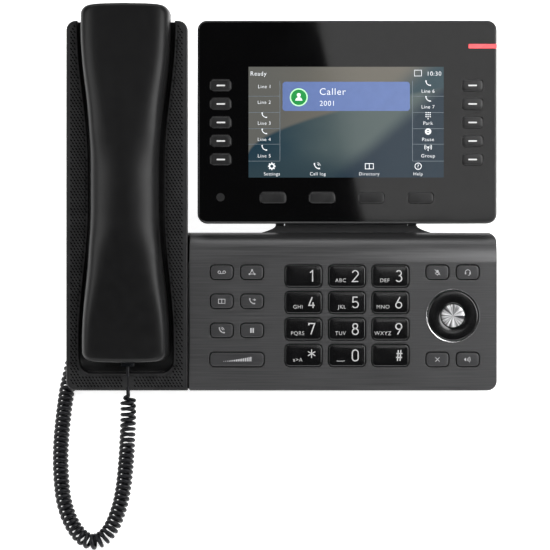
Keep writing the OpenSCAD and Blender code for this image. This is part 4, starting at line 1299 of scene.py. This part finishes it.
def wallpaper():
    """A lit picture of soft dunes: a warm sky over a curved edge, teal below and navy to the right."""
    material = bpy.data.materials.new("screen_wallpaper")
    material.use_nodes = True
    nodes, links = material.node_tree.nodes, material.node_tree.links
    shader = nodes["Principled BSDF"]
    span = [(high - low) * MM for low, high in zip(SCREEN_LOW, SCREEN_HIGH)]
    on_picture = face_coords(nodes, links, (*SCREEN_LOW, 0), (*span, 1))
    split = nodes.new("ShaderNodeSeparateXYZ")
    links.new(on_picture, split.inputs[0])
    s, t = split.outputs["X"], split.outputs["Y"]

    def math_of(operation, a, b):
        node = nodes.new("ShaderNodeMath")
        node.operation = operation
        for socket, value in zip(node.inputs, (a, b)):
            if isinstance(value, (int, float)):
                socket.default_value = value
            else:
                links.new(value, socket)
        return node.outputs[0]

    def step(value, low, high):
        node = nodes.new("ShaderNodeMapRange")
        node.interpolation_type = "SMOOTHSTEP"
        node.inputs["From Min"].default_value = low
        node.inputs["From Max"].default_value = high
        links.new(value, node.inputs["Value"])
        return node.outputs[0]

    grain = nodes.new("ShaderNodeTexNoise")
    grain.inputs["Scale"].default_value = 6
    links.new(on_picture, grain.inputs["Vector"])
    drift = math_of("MULTIPLY", grain.outputs["Fac"], 0.12)
    dune = math_of("MULTIPLY_ADD", math_of("POWER", s, 0.55), 0.6)
    dune.node.inputs[2].default_value = 0.2
    above = math_of("SUBTRACT", t, dune)
    slope = math_of("MULTIPLY_ADD", s, 1.541)
    slope.node.inputs[2].default_value = -0.64
    right_of = math_of("SUBTRACT", slope, t)

    across = step(math_of("ADD", s, drift), 0.05, 0.72)
    teal = blend_nodes(nodes, links, across, (0.012, 0.045, 0.07), (0.11, 0.15, 0.145))
    teal = blend_nodes(nodes, links, step(t, 0.3, 0.0), teal, (0.03, 0.06, 0.075))
    low_part = blend_nodes(nodes, links, step(right_of, -0.06, 0.16), teal, (0.006, 0.028, 0.05))
    across = step(math_of("ADD", s, drift), 0.1, 0.7)
    sky = blend_nodes(nodes, links, across, (0.15, 0.15, 0.135), (0.2, 0.185, 0.15))
    sky = blend_nodes(nodes, links, step(right_of, -0.42, -0.1), sky, (0.03, 0.075, 0.095))
    picture = blend_nodes(nodes, links, step(above, -0.012, 0.03), low_part, sky)
    links.new(picture, shader.inputs["Emission Color"])
    shader.inputs["Emission Strength"].default_value = 0.82
    shader.inputs["Base Color"].default_value = (0.004, 0.004, 0.005, 1)
    shader.inputs["Roughness"].default_value = 0.08
    return material


def lit(name, colour, strength=1.0):
    return surface(name, colour, 0.12, vary=0.04, rough_vary=0.03, emission=strength)


SCREEN_TOP = 0.03
COLUMN_L, COLUMN_R = 17.8, 17.7
CELL_V = [172.6, 163.7, 154.4, 145.2, 135.9]
CELL_LINES_V = [167.0, 157.8, 148.6, 139.8, 130.2]


def on_screen(name, faces, level, material):
    """A layer of the picture; higher levels lie on lower ones, a hundredth of a millimetre apart."""
    top = SCREEN_TOP + 0.012 * level
    place(name, print_mesh(name, faces, top - 0.01, top), material, "display_head")


def antenna_icon(at):
    faces = bar((at[0] - 0.2, at[1] - 1.6), (at[0] + 0.2, at[1] + 0.4)) + disc((at[0], at[1] + 0.5), 0.5)
    for turn in (0, 180):
        faces += waves((at[0], at[1] + 0.5), (1.2, 2.0), 42, 0.32, turn)
    return faces


def make_screen():
    m = MATERIALS
    m["wallpaper"] = wallpaper()
    m["screen_line"] = lit("screen_line", (0.09, 0.11, 0.125), 0.8)
    m["screen_text"] = lit("screen_text", (0.5, 0.52, 0.54), 0.85)
    m["screen_banner"] = lit("screen_banner", (0.08, 0.118, 0.255), 0.52)
    m["screen_green"] = lit("screen_green", (0.01, 0.16, 0.035), 0.8)
    m["screen_ring"] = lit("screen_ring", (0.32, 0.6, 0.34), 0.8)

    u0, v0 = SCREEN_LOW
    u1, v1 = SCREEN_HIGH
    on_screen("screen_glass", bar(SCREEN_LOW, SCREEN_HIGH), 0, "wallpaper")
    left_edge, right_edge = u0 + COLUMN_L, u1 - COLUMN_R
    lines = bar((left_edge - 0.15, v0 + 9.4), (left_edge + 0.15, v1 - 8))
    lines += bar((right_edge - 0.15, v0 + 9.4), (right_edge + 0.15, v1 - 8))
    for v in CELL_LINES_V:
        lines += bar((u0, v - 0.12), (left_edge, v + 0.12)) + bar((right_edge, v - 0.12), (u1, v + 0.12))
    on_screen("screen_rules", lines, 1, "screen_line")
    banner = [[Vector(p) for p in rounded((left_edge + 1.5, 158.7), (right_edge - 1.5, 175.2), (1.6,) * 4)]]
    on_screen("screen_banner", banner, 1, "screen_banner")

    words = text("10:30", 2.5, (u1 - 1.4, v1 - 5.0), "RIGHT")
    frame_corners = [(u1 - 16.6, v1 - 5.2), (u1 - 12.6, v1 - 5.2),
                     (u1 - 12.6, v1 - 1.9), (u1 - 16.6, v1 - 1.9)]
    words += stroke(frame_corners, 0.28, True)
    words += text("Ready", 2.5, (u0 + 1.2, v1 - 5.0), "LEFT")
    words += text("Caller", 4.0, (21.7, 167.8), "LEFT")
    words += text("2001", 3.0, (21.7, 161.6), "LEFT")
    left_mid, right_mid = u0 + COLUMN_L / 2, u1 - COLUMN_R / 2
    for i, v in enumerate(CELL_V):
        if i < 2:
            words += text(f"Line {i + 1}", 2.0, (left_mid, v - 1.0))
        else:
            words += shift(phone_icon(), left_mid, v + 1.8, 0.85)
            words += text(f"Line {i + 1}", 2.0, (left_mid, v - 3.6))
    for i, v in enumerate(CELL_V):
        words += text(("Line 6", "Line 7", "Park", "Pause", "Group")[i], 2.0, (right_mid, v - 3.6))
    for v in CELL_V[:2]:
        words += shift(phone_icon(), right_mid, v + 1.8, 0.85)
    for row in range(4):
        for column in range(3):
            if row < 3 or column == 1:
                words += disc((right_mid + (column - 1) * 1.15, CELL_V[2] + 3.3 - row * 1.15), 0.36, 8)
    words += antenna_icon((right_mid, CELL_V[4] + 1.7))
    words += hoop((right_mid, CELL_V[3] + 1.8), 1.35, 0.9)
    words += bar((right_mid - 1.0, CELL_V[3] + 1.5), (right_mid + 1.0, CELL_V[3] + 2.1))
    for u, label in ((-5.5, "Settings"), (20.6, "Call log"), (49.8, "Directory"), (77.5, "Help")):
        words += text(label, 1.9, (u, v0 + 1.2))
    words += hoop((-5.5, v0 + 6.4), 1.3, 0.7) + hoop((77.5, v0 + 6.4), 1.8, 0.36)
    for k in range(8):
        a = math.radians(45 * k)
        words += stroke([(-5.5 + 1.4 * math.cos(a), v0 + 6.4 + 1.4 * math.sin(a)),
                         (-5.5 + 2.15 * math.cos(a), v0 + 6.4 + 2.15 * math.sin(a))], 0.62)
    words += text("?", 2.3, (77.5, v0 + 5.25)) + shift(phone_icon(), 20.0, v0 + 6.4, 0.95)
    words += waves((20.2, v0 + 6.6), (1.0, 1.8), 40, 0.3, 45) + shift(book_icon(), 49.8, v0 + 6.4, 1.15)
    on_screen("screen_words", words, 2, "screen_text")

    centre = (9.8, 166.4)
    on_screen("screen_face_ring", hoop(centre, 4.75, 0.7), 2, "screen_ring")
    on_screen("screen_face_disc", disc(centre, 4.4, 40), 2, "screen_green")
    shoulders = [Vector(p) for p in arc(centre[0], centre[1] - 1.9, 2.0, 0, 180, 16)]
    person = disc((centre[0], centre[1] + 1.3), 1.15) + [shoulders]
    on_screen("screen_face", person, 3, "screen_text")


# ---------------------------------------------------------------- what stays from CAD


def finish_cad_nodes():
    looks = {
        "bottom_cover": "case", "foot_stand": "case", "neck_arm": "case", "display_back": "head",
        "rubber_feet": "rubber", "network_sockets": "steel", "main_board": "board", "loudspeaker": "dark",
        "hinge_pin": "steel", "housing_screws": "steel",
    }
    for node, look in looks.items():
        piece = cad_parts[node]
        for k in range(len(piece.material_slots)):
            piece.material_slots[k].material = MATERIALS[look]


make_materials()
make_camera()
make_stage()
make_cord()
make_handset()
make_cradle()
make_pad()
make_dial_keys()
make_function_keys()
make_navigator()
make_head()
make_line_keys()
make_screen()
make_leg_details()
finish_cad_nodes()
